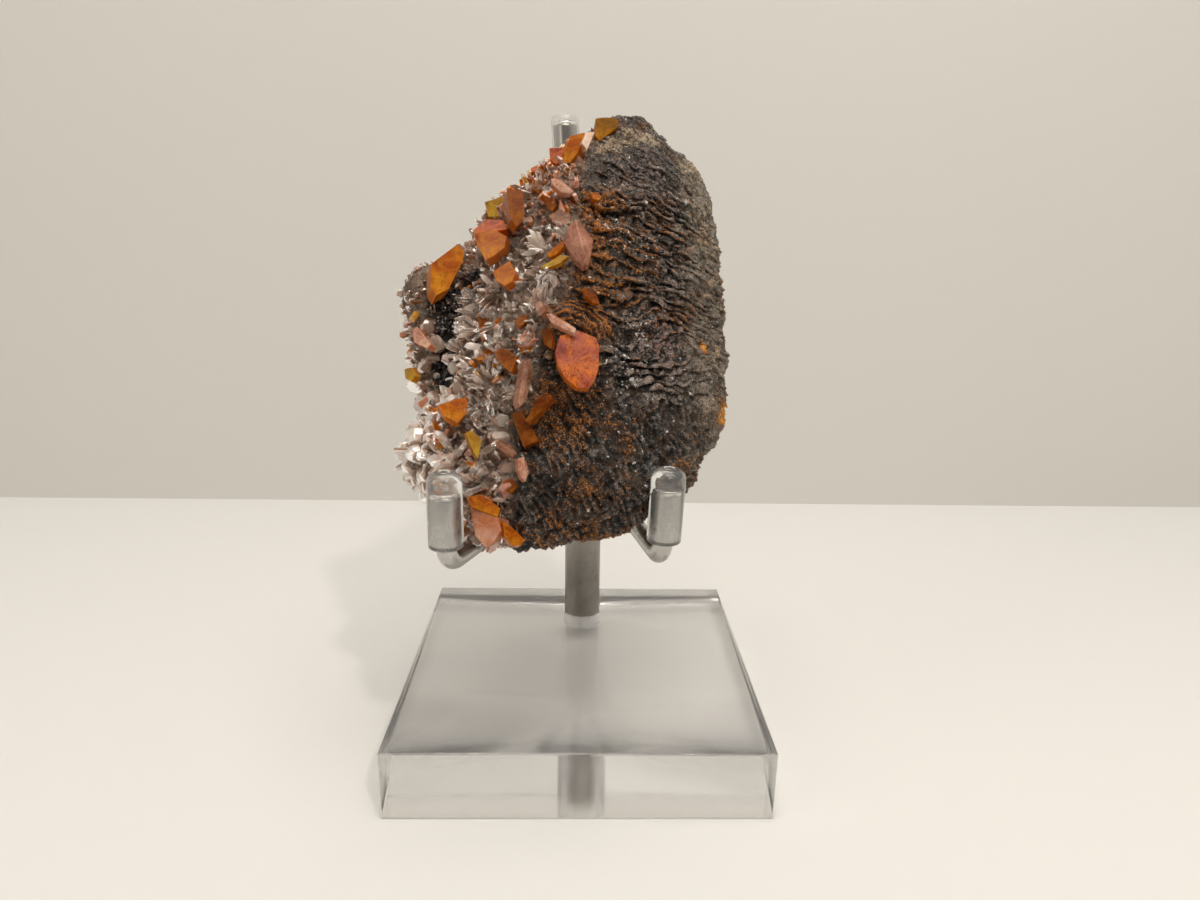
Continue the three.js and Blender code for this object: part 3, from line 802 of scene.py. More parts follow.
def carveRock(mesh):
    world, normals = (readArray(mesh.vertices, name, 3) for name in ("co", "normal"))
    local = moved(world, toLean)
    facing = turned(normals, toLean)
    area = zones(local, facing)
    x, z = local[:, 0], local[:, 2]
    phase = layerPhase(local)
    swell = 0.85 + 0.45 * smoothNoise(local, 6, 9)
    ribs = shingles(phase, local, 30)
    fineRibs = shingles(phase * 2.3 + 0.4, local, 34)
    long, high = rockShape["blockLong"], rockShape["blockHigh"]
    bricks = np.column_stack([x / long + 0.4 * np.floor(phase), local[:, 1] / long, phase * high])
    inward, level = packedLumps(bricks + 0.3 * smoothNoise(local, 1.1, 50)[:, None], 5)
    blocks = rockShape["blockRise"] * (smoothStep(inward, 0.0, 0.32) - 0.6)
    blocks += rockShape["blockStep"] * (level - 0.5)
    height = area["ribs"] * swell * (
        rockShape["ribRise"] * (ribs - 0.5) + rockShape["fineRibRise"] * (fineRibs - 0.5) + blocks
    )
    height += rockShape["arcRise"] * (area["ring"] - 0.5) * area["arcs"]
    lip = np.exp(-((phase - np.floor(phase) - 0.2) / 0.15) ** 2)
    area["fringe"] = area["ribs"] * lip + area["arcs"] * smoothStep(area["ring"], 0.5, 0.9)
    slant = np.column_stack([(x * 0.86 + z * 0.5) / 0.8, local[:, 1] / 2, (z * 0.86 - x * 0.5) / 2.4])
    streaks = ridgedNoise(slant, 1, 12)
    area["streaks"] = streaks
    inward, level = packedLumps(local / rockShape["crumbSize"] + 0.4 * streaks[:, None], 6)
    crumbs = smoothStep(inward, 0.0, 0.4) * (0.3 + 1.1 * level) - 0.5
    knobs = 1 - 2.2 * np.abs(smoothNoise(local, 1.25, 13))
    height += area["low"] * (rockShape["streakRise"] * streaks + rockShape["knobRise"] * knobs)
    bald = (1 - area["right"]) * area["front"]
    height += rockShape["crumbRise"] * crumbs * (0.5 + 1.0 * area["low"] + 0.5 * area["flank"] + 1.4 * bald)
    warp = 0.45 * smoothNoise(local, 1.7, 51)[:, None]
    inward, level = packedLumps(local / rockShape["noduleSize"] + warp, 8)
    nodules = smoothStep(inward, 0.0, 0.3) * (0.4 + 1.0 * level) - 0.5
    height += rockShape["noduleRise"] * nodules * (area["low"] + 0.25 * area["flank"] + 0.4 * bald)
    lumps = smoothNoise(local, 3.4, 14) + 0.55 * smoothNoise(local, 1.8, 19)
    height += rockShape["lumpRise"] * lumps * (0.6 + 0.55 * area["flank"] + 0.5 * area["low"])
    pits = np.clip(smoothNoise(local, 1.5, 15) - 0.15, 0, 1)
    height -= rockShape["pitRise"] * pits * area["flank"]
    grain = smoothNoise(local, 0.85, 16)
    fine = smoothNoise(local, 0.46, 17)
    height += rockShape["grainRise"] * grain + rockShape["fineRise"] * fine
    world += normals * (height * mm)[:, None]
    droop = rockShape["ribDroop"] * (ribs - 0.4) * area["ribs"]
    downhill = -fromLean[:3, 2] / np.linalg.norm(fromLean[:3, 2])
    world += downhill * (droop * mm)[:, None]
    world = keptInside(world, rockShape["boxKeep"])
    setVertices(mesh, world)
    smooth = smoothed(mesh, world.copy(), rockShape["reliefRounds"], rockShape["reliefStep"])
    relief = np.einsum("ij,ij->i", world - smooth, normals) / mm
    return local, facing, area, np.clip(0.5 + relief / rockShape["reliefSpan"], 0, 1)


# patches of each finish: how much, where in x and z, and how far they reach
rockPatches = {
    "rust": [(0.6, (-0.6, -15), (5.4, 4.4)), (0.34, (0.5, -20.5), (4.6, 7.5)), (0.5, (3.5, -29.6), (11, 1.7)),
             (0.5, (16.5, -21.5), (3, 2.4)), (0.3, (4, 12.5), (2.2, 1.4)), (0.45, (5, 27), (3, 2))],
    "coat": [(1, (20.6, -13.2), (1.7, 3.7)), (1, (17.7, -5.6), (1.3, 1.7)), (0.8, (9.8, 28), (1.5, 1.2))],
    "violetSheen": [(0.95, (12, -7.2), (4.2, 4.8)), (0.65, (9.5, 17.5), (4.5, 5)), (0.35, (14, 3), (5, 5))],
    "pale": [(0.9, (9.5, 25.5), (3.4, 2.6)), (1, (16.6, 22), (1.8, 2)), (0.95, (5.6, 22.4), (2.4, 1.8)),
             (0.3, (17, 10), (3, 8))],
    # sparkle marks where clear glitter grains sit and where the rock's material paints its glints
    "sparkle": [(0.9, (7.6, -11.8), (2.2, 2)), (0.45, (6, 8), (4, 5)), (0.5, (9, -6), (3, 3))],
}


def rockShares(local, facing, area, crest):  # how much of each finish there is at each point
    x, z = local[:, 0], local[:, 2]
    cloud = smoothNoise(local, 3.4, 21)
    front, low = area["front"], area["low"]
    spots = {
        name: sum(much * blob(local, at, reach) for much, at, reach in patches)
        for name, patches in rockPatches.items()
    }
    nearEdge = np.exp(-((area["edge"] - 2.2) / 4.4) ** 2) * front
    rust = 0.54 * nearEdge * smoothStep(z, -12, 0) * smoothStep(-z, -21, -8) + spots["rust"]
    rust += 0.85 * area["arcs"] + 0.2 * front * smoothStep(-np.abs(z - 3), -14, -4)
    rust += 0.12 + 0.25 * cloud + low * (0.26 * area["streaks"] + 0.2 * cloud - 0.08)
    pale = spots["pale"] + 0.22 * smoothStep(x, 14.5, 18.5) * front + 0.2 * (1 - front) + 0.15 * cloud
    under = (1 - area["right"]) * smoothStep(-facing[:, 1] - 0.45 * facing[:, 0], -0.6, -0.1)
    shares = {
        "rust": np.maximum(np.clip(rust, 0, 0.8), spots["coat"]), "violetSheen": spots["violetSheen"] + 0.2 * cloud,
        "pale": pale, "sparkle": spots["sparkle"] + 0.1, "fringe": area["fringe"],
        "under": np.clip(under, 0, 1) * (1 - area["valley"]),
        "crest": crest, "valley": area["valley"], "flank": area["flank"], "low": low,
    }
    return {name: np.clip(values, 0, 1) for name, values in shares.items()}


# gap, dark, stone and light are laid by the rock's tone, so they carry painted shade in the gaps and a
# painted highlight on the crests
rockLook = {
    "gap": (0.007, 0.0055, 0.0045), "dark": (0.030, 0.025, 0.021),
    "stone": (0.098, 0.083, 0.070), "light": (0.33, 0.285, 0.24),
    "umber": (0.075, 0.037, 0.018), "orange": (0.66, 0.245, 0.035),
    "brown": (0.20, 0.062, 0.012), "violetSheen": (0.27, 0.185, 0.18),
    "tan": (0.58, 0.44, 0.29), "druse": (0.34, 0.25, 0.19), "paintedGlint": (0.85, 0.83, 0.80),
    "haze": (0.33, 0.275, 0.21), "ochre": (0.74, 0.31, 0.025), "paintedSheen": (0.135, 0.14, 0.142),
    "grains": (0.7, 0.32, 0.16), "shine": 0.4, "relief": 0.17,
}


def makeRockMaterial():
    material, shader = newMaterial("layeredRock")
    place = objectPlace()
    coarse, grain, fine = (useGroup(grainGroup, Vector=place, Size=size) for size in rockLook["grains"])
    cloud = noise(place, 380.0, 5.0, 0.65)
    patch = noise(place, 300.0, 3.0, 0.55)
    crest, low, fringe, valley = (share(name) for name in ("crest", "low", "fringe", "valley"))
    mixed = timesPlus(fine["Random"], 0.78, times(grain["Random"], 0.22))
    tone = timesPlus(maths("SUBTRACT", mixed, 0.5), 0.75, crest)  # random grain tone with painted shade in the gaps and a painted highlight on the crests
    tone = maths("ADD", tone, spread(patch, 0.3, 0.7, -0.2, 0.2))
    tone = timesPlus(low, -0.2, tone)
    warm = times(spread(cloud, 0.44, 0.66, 0.0, 0.7), spread(tone, 0.95, 0.6))
    # painted sheen: a blue-grey sheen laid on the raised lumps of the low zone
    paintedSheen = times(times(low, spread(tone, 0.4, 0.8, 0.0, 0.75)), spread(cloud, 0.6, 0.45))
    pale = useGroup(fleckGroup, Vector=place, Size=1.5, Amount=share("pale"))["Mask"]
    golden = maths("MAXIMUM", fringe, times(low, 0.55))
    golden = times(spread(mixed, 0.4, 0.82), spread(golden, 0.0, 1.0, 0.3, 1.0))
    raised = timesPlus(fringe, 0.7, spread(crest, 0.38, 0.85, 0.15, 1.0))
    even = times(low, 0.7)
    raised = maths("ADD", times(raised, maths("SUBTRACT", 1.0, even)), times(even, 0.62))
    reach = timesPlus(cloud, 0.35, times(share("rust"), raised))
    stain = timesPlus(coarse["Random"], 0.25, reach)
    coat = times(spread(share("rust"), 0.82, 0.93, 0.0, 0.95), spread(tone, 0.05, 0.45))
    # painted glint: near-white specks laid on the crests where the sparkle share is high
    paintedGlint = spread(timesPlus(share("sparkle"), 0.05, grain["Random"]), 0.998, 1.004)
    look = rockLook
    rusty = mixColor(golden, look["brown"], look["orange"])
    lower = mixColor(coarse["Random"], look["umber"], look["druse"])
    color = layered(look["gap"], (
        (spread(tone, 0.16, 0.46), look["dark"]),
        (spread(tone, 0.42, 0.72), look["stone"]),
        (spread(tone, 0.66, 1.0), look["light"]),
        (warm, look["umber"]),
        (paintedSheen, look["paintedSheen"]),
        (times(share("flank"), spread(tone, 0.3, 0.8, 0.12, 0.72)), look["haze"]),
        # painted sheen: a purple-grey sheen laid on the raised crests in the violetSheen patches
        (times(share("violetSheen"), spread(tone, 0.5, 0.78, 0.0, 0.9)), look["violetSheen"]),
        (times(pale, spread(tone, 0.3, 0.8, 0.1, 0.9)), look["tan"]),
        (spread(stain, 0.55, 1.0, 0.0, 0.85), look["umber"]),
        (spread(timesPlus(mixed, 1.3, reach), 1.46, 1.6, 0.0, 0.97), rusty),
        (coat, look["ochre"]),
        (times(share("under"), 0.85), lower),
        # painted shade: the darkest gap colour laid over the valley hollow
        (times(valley, 0.9), look["gap"]),
        (times(paintedGlint, spread(crest, 0.4, 0.6)), look["paintedGlint"]),
    ))
    height = timesPlus(coarse["Height"], 0.6, timesPlus(fine["Height"], 0.45, grain["Height"]))
    fill(shader.inputs, {
        "Base Color": color,
        "Roughness": timesPlus(valley, -0.25, spread(mixed, 0.15, 0.85, 0.62, 0.22)),
        "Specular IOR Level": rockLook["shine"],
        "Normal": bump(height, rockLook["relief"]),
    })
    return material


def thinned(mesh, name, most):  # the same mesh with fewer triangles where it is flat
    body = bmesh.new()
    body.from_mesh(mesh)
    bmesh.ops.triangulate(body, faces=body.faces)
    blank = bpy.data.meshes.new("blank")
    body.to_mesh(blank)
    ratio = min(1.0, most / len(body.faces))
    body.free()
    return modified(blank, name, "DECIMATE", ratio=ratio)


layeredRock = makeRockMaterial()
rockMesh = refineFront(rockBlank())
rockFacts = rockShares(*carveRock(rockMesh))
setShares(rockMesh, **rockFacts)
rockPiece = thinned(rockMesh, "rock_matrix", rockShape["mostTriangles"])
rockPiece.shade_smooth()
addPiece("rock_matrix", rockPiece, [layeredRock], "rock", "matrix")
print("rock carved:", len(rockPiece.polygons), "triangles")

# the wulfenite crystals, each a tablet: its look, its middle, the turn of its broad face (up, right),
# its thickness, how far a ridge stands out of it, then its outline as x and z in turn
wulfeniteShapes = {
    "left_block": [
        ("orange", (-15.32, -6.38, 3.91), (6, 22), 2.6, 0, (-2.2, -2.9, -1.5, -3.8, 0.1, -2.6, 1, -0.2, 1.9,
         1.8, 2.1, 3.3, 1.1, 4.1, -2.3, 0.5)),
    ],
    "amber": [
        ("amber", (-9.12, -6.57, 12.73), (-4, -14), 1.6, 0, (-1.5, -1.1, 0.2, -1.3, 1.4, -0.8, 1.4, 0.7, 0.6,
         1.5, -2, 1)),
    ],
    "tall_brown": [
        ("brown", (-6.19, -12.38, 9.66), (4, 20), 1.8, 0, (-0.8, -1.7, -0.1, -2.6, 0.8, -1.5, 0.9, 1.1, 0.5,
         2.8, -1.4, 2.1)),
    ],
    "upper_orange": [
        ("coral", (-9.54, -10.94, 5.52), (0, -12), 2, 0, (-1.7, -0.1, -0.6, -2.1, 0.5, -1.6, 1.8, -0.6, 2,
         0.9, 0.4, 1.9, -2.3, 1.6)),
        ("salmon", (-9.69, -10.34, 8.03), (10, -6), 1.6, 0, (-1.7, -1.1, 0.5, -0.7, 2.1, -0.3, 1.7, 1, -0.5,
         1.3, -2.1, -0.2)),
    ],
    "middle_orange": [
        ("coral", (-7.53, -12.01, 0.94), (4, -20), 1.8, 0, (-1.2, -0.5, 0, -1.4, 1, -0.9, 1.4, 0.1, 0.4, 1.9,
         -1.7, 0.8)),
    ],
    "top_pair": [
        ("orange", (0.24, -8.35, 20.16), (0, -8), 2.6, 0, (-0.8, 0.4, -1.6, -1.4, -1.2, -2.1, -0.1, -1.8,
         0.8, -0.5, 1.5, 1, 1.7, 2.4, -0.2, 2)),
        # the second crystal is painted near-white as a reflection flashing off its face
        ("flash", (2.44, -8.65, 21.44), (-6, 28), 1.4, 0, (-0.1, -1.4, 0.4, -0.2, 0.9, 1.4, -0.4, 0.9, -0.9,
         -0.7)),
        ("salmon", (-1.72, -8.13, 19.54), (-4, -18), 2.4, 0, (-0.9, -0.6, 0, -1.4, 1.1, 0.1, 0.8, 0.9, -1,
         1.1)),
    ],
    "olive": [
        ("olive", (4.95, -4.88, 25.85), (-2, 6), 2.6, 0, (-1.6, -1.4, -1, -2.2, 0.1, -1.2, 1.4, -0.1, 1.7,
         1.1, 1, 1.4, -0.1, 1.4, -1.5, 1.1)),
    ],
    "bipyramid": [
        ("rose", (1.5, -14.91, 3.81), (4, 0), 1.6, 1.5, (-1.4, 2.2, -1.9, 0.2, -0.8, -1.7, 0.3, -2.8, 1,
         -2.6, 1.3, -1.3, 1.6, 0.5, 0.4, 2.3, -0.5, 3.3)),
    ],
    "pink_blade": [
        ("blush", (-0.8, -13.24, 12.17), (6, 10), 0.9, 0.25, (-1.2, 0.2, -0.1, -0.8, 1.1, -0.9, 1.5, -0.5,
         -0.1, 1, -1.3, 1)),
    ],
    "plate": [
        ("blush", (-0.51, -15.93, -6.55), (14, -10), 1, 0.2, (-1.2, 0.2, 0.5, -0.9, 1.6, -1.4, 1.7, -0.8,
         0.8, 0, -1.4, 1.5, -1.9, 1.4)),
        ("salmon", (1.51, -15.28, -10.7), (-2, 6), 1.7, 0.16, (-2.7, 0.9, -2.4, -0.8, -1.5, -2.2, -0.2, -3.3,
         1.2, -3.3, 1.9, -2.3, 2.3, -1.1, 2.4, 1.7, 1.9, 2.8, -0.1, 3.5, -2.2, 2.8)),
    ],
    "brown_window": [
        ("brown", (-7.24, -11.69, -9.54), (14, -20), 1, 0, (-1.1, 0.1, 0.2, -1.3, 1.1, -1.9, 1.5, 0.2, -0.2,
         1.5, -1.5, 1.4)),
    ],
    "pink_brown_blade": [
        ("umber", (-4.66, -13.74, -13.03), (6, 40), 1.1, 0.2, (-0.4, 0.8, -0.8, -1.2, -1.1, -2.6, -0.8, -3.1,
         0.2, -1.9, 0.8, 0.1, 1.2, 2.2, 0.9, 3.2, 0.1, 2.7)),
    ],
    "curved_blade": [
        ("brown", (-3.24, -12.42, -15.64), (6, -30), 1, 0.15, (-0.6, 0.6, -1.1, -0.4, -1.6, -1.5, -1, -1.8,
         -0.1, -0.9, 0.7, 0.5, 1.9, 0.9, 1.6, 1.4, 0.2, 1.3)),
    ],
    "brown_plate": [
        ("brown", (-4.97, -10.45, -17.69), (4, -12), 1, 0, (-0.6, -0.6, 0.1, -2.3, 1.9, -1.6, 0.8, 0.5, -0.5,
         2.3, -1.6, 1.8)),
    ],
    "fan": [
        ("orange", (-13.27, -9.22, -15.03), (16, 12), 1.2, 0, (-1.2, -1.2, 0.3, -2, 1.3, -0.6, 1.5, 1, 1.2,
         1.7, -0.9, 0.9, -2.2, 0.2)),
    ],
    "upright_edge": [
        ("orange", (-16.66, -6.32, -16.24), (0, -50), 0.9, 0, (-0.8, 1, -0.8, -1.1, 0.2, -2.1, 0.9, -1.9,
         0.5, 0, 0.6, 1.9, -0.7, 2.4)),
    ],
    "amber_wedge": [
        ("amber", (-10.63, -10.19, -19.59), (0, 24), 1, 0, (-0.1, -1.1, 0.4, -1.7, 0.6, -0.6, 0.8, 0.6, -0.6,
         1.6, -1.2, 1.2)),
    ],
    "lens": [
        ("umber", (-7.04, -10.5, -20.14), (12, 0), 1, 0.3, (-1, 0.1, -0.2, -0.5, 0.9, -1.1, 1.4, -0.7, 0.8,
         0.2, -0.7, 1.2, -1.2, 0.9)),
    ],
    "small_tip": [
        ("blush", (-4.74, -11.78, -22.78), (0, 24), 1.1, 0.3, (-0.6, -0.2, -0.2, -1.1, 0.3, -1.5, 0.7, -0.4,
         0.4, 0.7, 0, 1.4, -0.7, 1.1)),
    ],
    "low_pair": [
        ("orange", (-9.34, -10.1, -26.82), (10, 6), 2, 0, (-1.6, -0.2, 0, -0.8, 1.6, -1.5, 1.9, -0.4, 0.7,
         0.6, -0.5, 1.3, -2, 0.9)),
        ("frost", (-9.21, -9.8, -29.32), (-6, -14), 2, 0, (-1.6, 0.8, -1.2, -1.1, 0, -2.4, 1.1, -1.8, 2,
         -0.5, 1.6, 0.9, -0.1, 1.8, -1.8, 2.3)),
        ("orange", (-5.96, -10.1, -30.31), (4, 16), 1.6, 0, (-0.9, -0.2, -0.1, -1.2, 0.9, -1.3, 1.5, -0.6,
         0.4, 0.5, -0.5, 1.2, -1.2, 1.5)),
    ],
    "rim_pink": [
        ("blush", (-18.73, -5.01, -4.64), (10, -30), 1.2, 0, (-1, -0.5, 1.4, -1.8, 2, -1.3, 0.3, 0.4, -1,
         1.8, -1.9, 1.4)),
    ],
    "loose": [
        ("blush", (-4.69, -13.11, -7.58), (16, 0), 1, 0.1, (-0.8, -0.8, 0.2, -0.8, 1.1, -0.2, 0.9, 1.1, -0.3,
         0.8, -1.1, -0.1)),
        ("orange", (-4.64, -12.75, -8.41), (-12, 10), 1, 0, (-0.5, -0.7, 0.5, -0.5, 0.9, 0.7, 0.1, 0.3, -1.1,
         0.3)),
        ("orange", (-9.85, -8.3, -7.93), (20, -10), 0.8, 0, (-0.9, -0.8, 0.2, -0.2, 1.3, -0.1, 1, 0.7, -0.2,
         0.9, -1.4, -0.4)),
        ("brown", (-2.15, -13.94, -7.65), (0, -30), 0.7, 0, (-0.5, -0.7, 0.5, -1.4, 0.7, -0.1, 0.2, 1.1,
         -0.9, 1.1)),
        ("brown", (-4.06, -10.41, 13.66), (0, 10), 0.8, 0, (-0.4, -0.4, 0.2, -0.9, 0.7, -0.4, 0.1, 0.9, -0.6,
         0.7)),
        ("brown", (-2.13, -12.25, 10.34), (0, -20), 0.9, 0, (-0.5, -0.5, 0.2, -1, 0.7, -0.3, 0.3, 1, -0.7,
         0.8)),
        ("rose", (-0.81, -12.66, 9.83), (10, 0), 0.6, 0.15, (-0.3, -0.4, 0.2, -1, 0.5, -0.6, -0.1, 1.1, -0.3,
         0.9)),
        ("umber", (-0.91, -13.06, 8.05), (12, -10), 1, 0, (-1, -0.5, 0, -1.2, 1.2, -0.9, 1.2, 0.5, -0.1, 1.4,
         -1.3, 0.7)),
        ("orange", (-1.37, -14.4, 3.26), (14, -20), 0.7, 0.1, (-0.7, -1, 0.1, -0.7, 1, 0.4, 0.8, 1.1, -0.1,
         0.6, -1.1, -0.5)),
        ("amber", (-1.46, -14.65, 1.61), (10, -10), 0.7, 0, (-0.8, -0.8, 0.7, -0.2, 1.6, 0.7, 0.7, 0.9, -0.6,
         0.1, -1.6, -0.6)),
        ("orange", (3.51, -10.77, 12.28), (20, 20), 0.8, 0, (-0.5, -0.6, 0.3, -0.6, 0.8, 0.1, 0.2, 0.8, -0.7,
         0.4)),
        ("orange", (-11.2, -9.26, -21.78), (10, 0), 0.7, 0, (-0.4, -0.3, 0.2, -0.6, 0.6, 0.1, 0.1, 0.6, -0.6,
         0.3)),
        ("brown", (-6.37, -10.09, -24.52), (8, 14), 0.8, 0, (-0.7, -0.6, 0.2, -0.9, 1, 0, 0.3, 0.9, -0.8,
         0.6)),
        ("amber", (-20.21, -3.6, -9.13), (0, -40), 1, 0, (-0.8, -0.4, 0.5, -1.1, 1.2, -0.3, 0.3, 0.9, -1.1,
         0.9)),
        ("salmon", (-4.48, -3.8, 19.98), (4, -10), 1.4, 0, (-0.6, -0.4, 0.5, -0.7, 0.9, 0.2, 0.2, 0.7, -0.9,
         0.2)),
        ("orange", (-6.43, -3.9, 17.71), (0, -20), 0.6, 0, (-0.1, -0.9, 0.3, -0.4, 0.2, 0.8, -0.4, 0.6)),
        ("brown", (-10.51, -7.33, -3.33), (0, 0), 0.9, 0, (-0.5, -1.3, 0.4, -1.6, 0.7, 0, 0.3, 1.6, -0.8,
         1.3)),
        ("brown", (-5.22, -12.65, -4.91), (20, 10), 0.8, 0, (-0.3, -1.1, 0.6, -0.2, 0.8, 0.9, -0.2, 0.7,
         -0.9, -0.3)),
        ("brown", (3.04, -14.08, -2.43), (10, 40), 0.6, 0, (-0.9, -0.2, 0, -0.9, 1.1, -0.7, 0.9, 0.2, -0.1,
         0.9, -1, 0.8)),
    ],
}

# face, brighter and deeper zones, side (a painted glow on the edge walls) and shine, then how fibrous,
# frosted, clear and glossy
wulfeniteLooks = {
    "orange": ((0.5, 0.105, 0.003), (0.9, 0.36, 0.014), (0.24, 0.032, 0.001), (0.62, 0.16, 0.006),
        (1.0, 0.4, 0.12), 0.4, 0.1, 0.45, 0.3),
    "salmon": ((0.53, 0.12, 0.052), (0.82, 0.21, 0.022), (0.21, 0.02, 0.008), (0.7, 0.16, 0.006),
        (1.0, 0.75, 0.65), 0.95, 0.34, 0.2, 0.45),
    "coral": ((0.62, 0.19, 0.045), (0.92, 0.37, 0.03), (0.34, 0.06, 0.006), (0.66, 0.16, 0.01),
        (1.0, 0.7, 0.55), 0.5, 0.4, 0.35, 0.45),
    "blush": ((0.62, 0.29, 0.175), (0.92, 0.6, 0.46), (0.33, 0.095, 0.035), (0.55, 0.16, 0.025),
        (1.0, 0.9, 0.85), 0.7, 0.42, 0.3, 0.5),
    "rose": ((0.5, 0.2, 0.115), (0.74, 0.38, 0.27), (0.22, 0.06, 0.028), (0.36, 0.12, 0.06),
        (1.0, 0.9, 0.85), 0.85, 0.42, 0.2, 0.5),
    "amber": ((0.62, 0.33, 0.01), (0.95, 0.62, 0.045), (0.3, 0.1, 0.003), (0.56, 0.18, 0.005),
        (1.0, 0.8, 0.5), 0.35, 0.2, 0.5, 0.45),
    "olive": ((0.3, 0.115, 0.002), (0.66, 0.27, 0.004), (0.11, 0.028, 0.001), (0.55, 0.15, 0.003),
        (1.0, 0.5, 0.12), 0.3, 0.03, 0.5, 0.25),
    "brown": ((0.25, 0.05, 0.003), (0.5, 0.145, 0.006), (0.095, 0.014, 0.001), (0.46, 0.11, 0.004),
        (1.0, 0.5, 0.25), 0.5, 0.1, 0.42, 0.35),
    "umber": ((0.27, 0.11, 0.055), (0.54, 0.28, 0.18), (0.1, 0.03, 0.012), (0.34, 0.1, 0.028),
        (1.0, 0.85, 0.75), 0.75, 0.42, 0.3, 0.45),
    "frost": ((0.58, 0.21, 0.09), (0.8, 0.52, 0.4), (0.46, 0.1, 0.01), (0.62, 0.15, 0.01), (1.0, 0.85, 0.75),
        0.3, 0.6, 0.25, 0.5),
    # flash: near-white colours that paint a reflection flashing off the crystal's face
    "flash": ((0.93, 0.7, 0.56), (1.0, 0.9, 0.82), (0.78, 0.42, 0.26), (0.7, 0.22, 0.02), (1.0, 0.95, 0.9),
        0.3, 0.2, 0.1, 0.9),
}
# frostAndReflection: the pale colour of frosted patches, which also paints a reflection on the broad faces
wulfeniteFinish = {
    "ior": 1.5, "polish": 0.07, "frosted": 0.3, "frostAndReflection": (0.76, 0.38, 0.22), "relief": 0.05,
    "glow": {"Subsurface Weight": 0.3, "Subsurface Radius": (1.0, 0.35, 0.08), "Subsurface Scale": 0.5 * mm},
}
crystalBuild = {
    "bevel": 0.03, "slope": 0.055, "finest": 0.34, "wave": 0.016, "waveSize": 1.1, "swell": 0.02,
    "pit": 0.01, "pitSize": 0.32, "ridgeHalf": 0.42, "sharp": 16, "seed": 40,
}


def faceTurn(up, right):  # turns a face that looks forward so that it looks up and to the right
    spin = Matrix.Rotation(math.radians(right), 3, "Z")
    return np.array(spin @ Matrix.Rotation(-math.radians(up), 3, "X"))


def ridgeEnds(outline):  # two points on the outline's long axis
    middle = outline.mean(axis=0)
    axes = np.linalg.svd(outline - middle)[2]
    reach = np.abs((outline - middle) @ axes[0]).max() * crystalBuild["ridgeHalf"]
    return [middle - axes[0] * reach, middle + axes[0] * reach]


def crystalBody(thick, peak, outline):  # a tablet with sloping rims, as a convex solid with fine bevels
    middle = outline.mean(axis=0)
    slope = crystalBuild["slope"] * min(thick, 1.6)
    inner = middle + (outline - middle) * (1 - slope / np.linalg.norm(outline - middle, axis=1))[:, None]
    rims = ((0, inner), (slope, outline), (thick - slope, outline), (thick, inner))
    points = [(x, depth, z) for depth, rim in rims for x, z in rim]
    if peak > 0:
        points += [(x, -peak, z) for x, z in ridgeEnds(outline)]
    body = bmesh.new()
    for point in points:
        body.verts.new(point)
    bmesh.ops.convex_hull(body, input=body.verts)
    bmesh.ops.delete(body, geom=[v for v in body.verts if not v.link_faces], context="VERTS")
    bmesh.ops.dissolve_limit(body, angle_limit=math.radians(3), verts=body.verts, edges=body.edges)
    bmesh.ops.bevel(
        body, geom=body.edges, offset=crystalBuild["bevel"], segments=2, profile=0.6,
        affect="EDGES", clamp_overlap=True,
    )
    for _ in range(5):
        bmesh.ops.triangulate(body, faces=body.faces)
        long = [edge for edge in body.edges if edge.calc_length() > crystalBuild["finest"]]
        if not long:
            break
        bmesh.ops.subdivide_edges(body, edges=long, cuts=1)
    bmesh.ops.triangulate(body, faces=body.faces)
    body.normal_update()
    return body


def crystalPart(at, turn, thick, peak, outline, seed):  # vertices in metres, faces, what the material reads
    body = crystalBody(thick, peak, np.array(outline, float).reshape(-1, 2))
    flat = np.array([v.co for v in body.verts])
    normals = np.array([v.normal for v in body.verts])
    faces = [[v.index for v in face.verts] for face in body.faces]
    rim = np.zeros(len(flat))
    for edge in body.edges:
        if edge.calc_face_angle(0) > 0.2:
            rim[[v.index for v in edge.verts]] = 1
    body.free()
    steps = smoothNoise(flat * (1, 0.4, 1), crystalBuild["waveSize"], seed)
    pits = smoothNoise(flat, crystalBuild["pitSize"], seed + 1)
    shift = crystalBuild["wave"] * steps + crystalBuild["pit"] * pits
    if peak == 0:  # broad faces swell a little towards their middle, in flat sectors
        far = np.abs(flat[:, [0, 2]]).sum(axis=1)
        shift -= crystalBuild["swell"] * np.clip(far - 0.4, 0, 3) * (normals[:, 1] < -0.8)
    place = flat + normals * shift[:, None]
    local = place @ faceTurn(*turn).T + np.array(at)
    side = smoothStep(-np.abs(normals[:, 1]), -0.92, -0.7)
    if peak > 0:
        side *= 0.4
    return moved(local, fromLean), faces, side, rim, flat


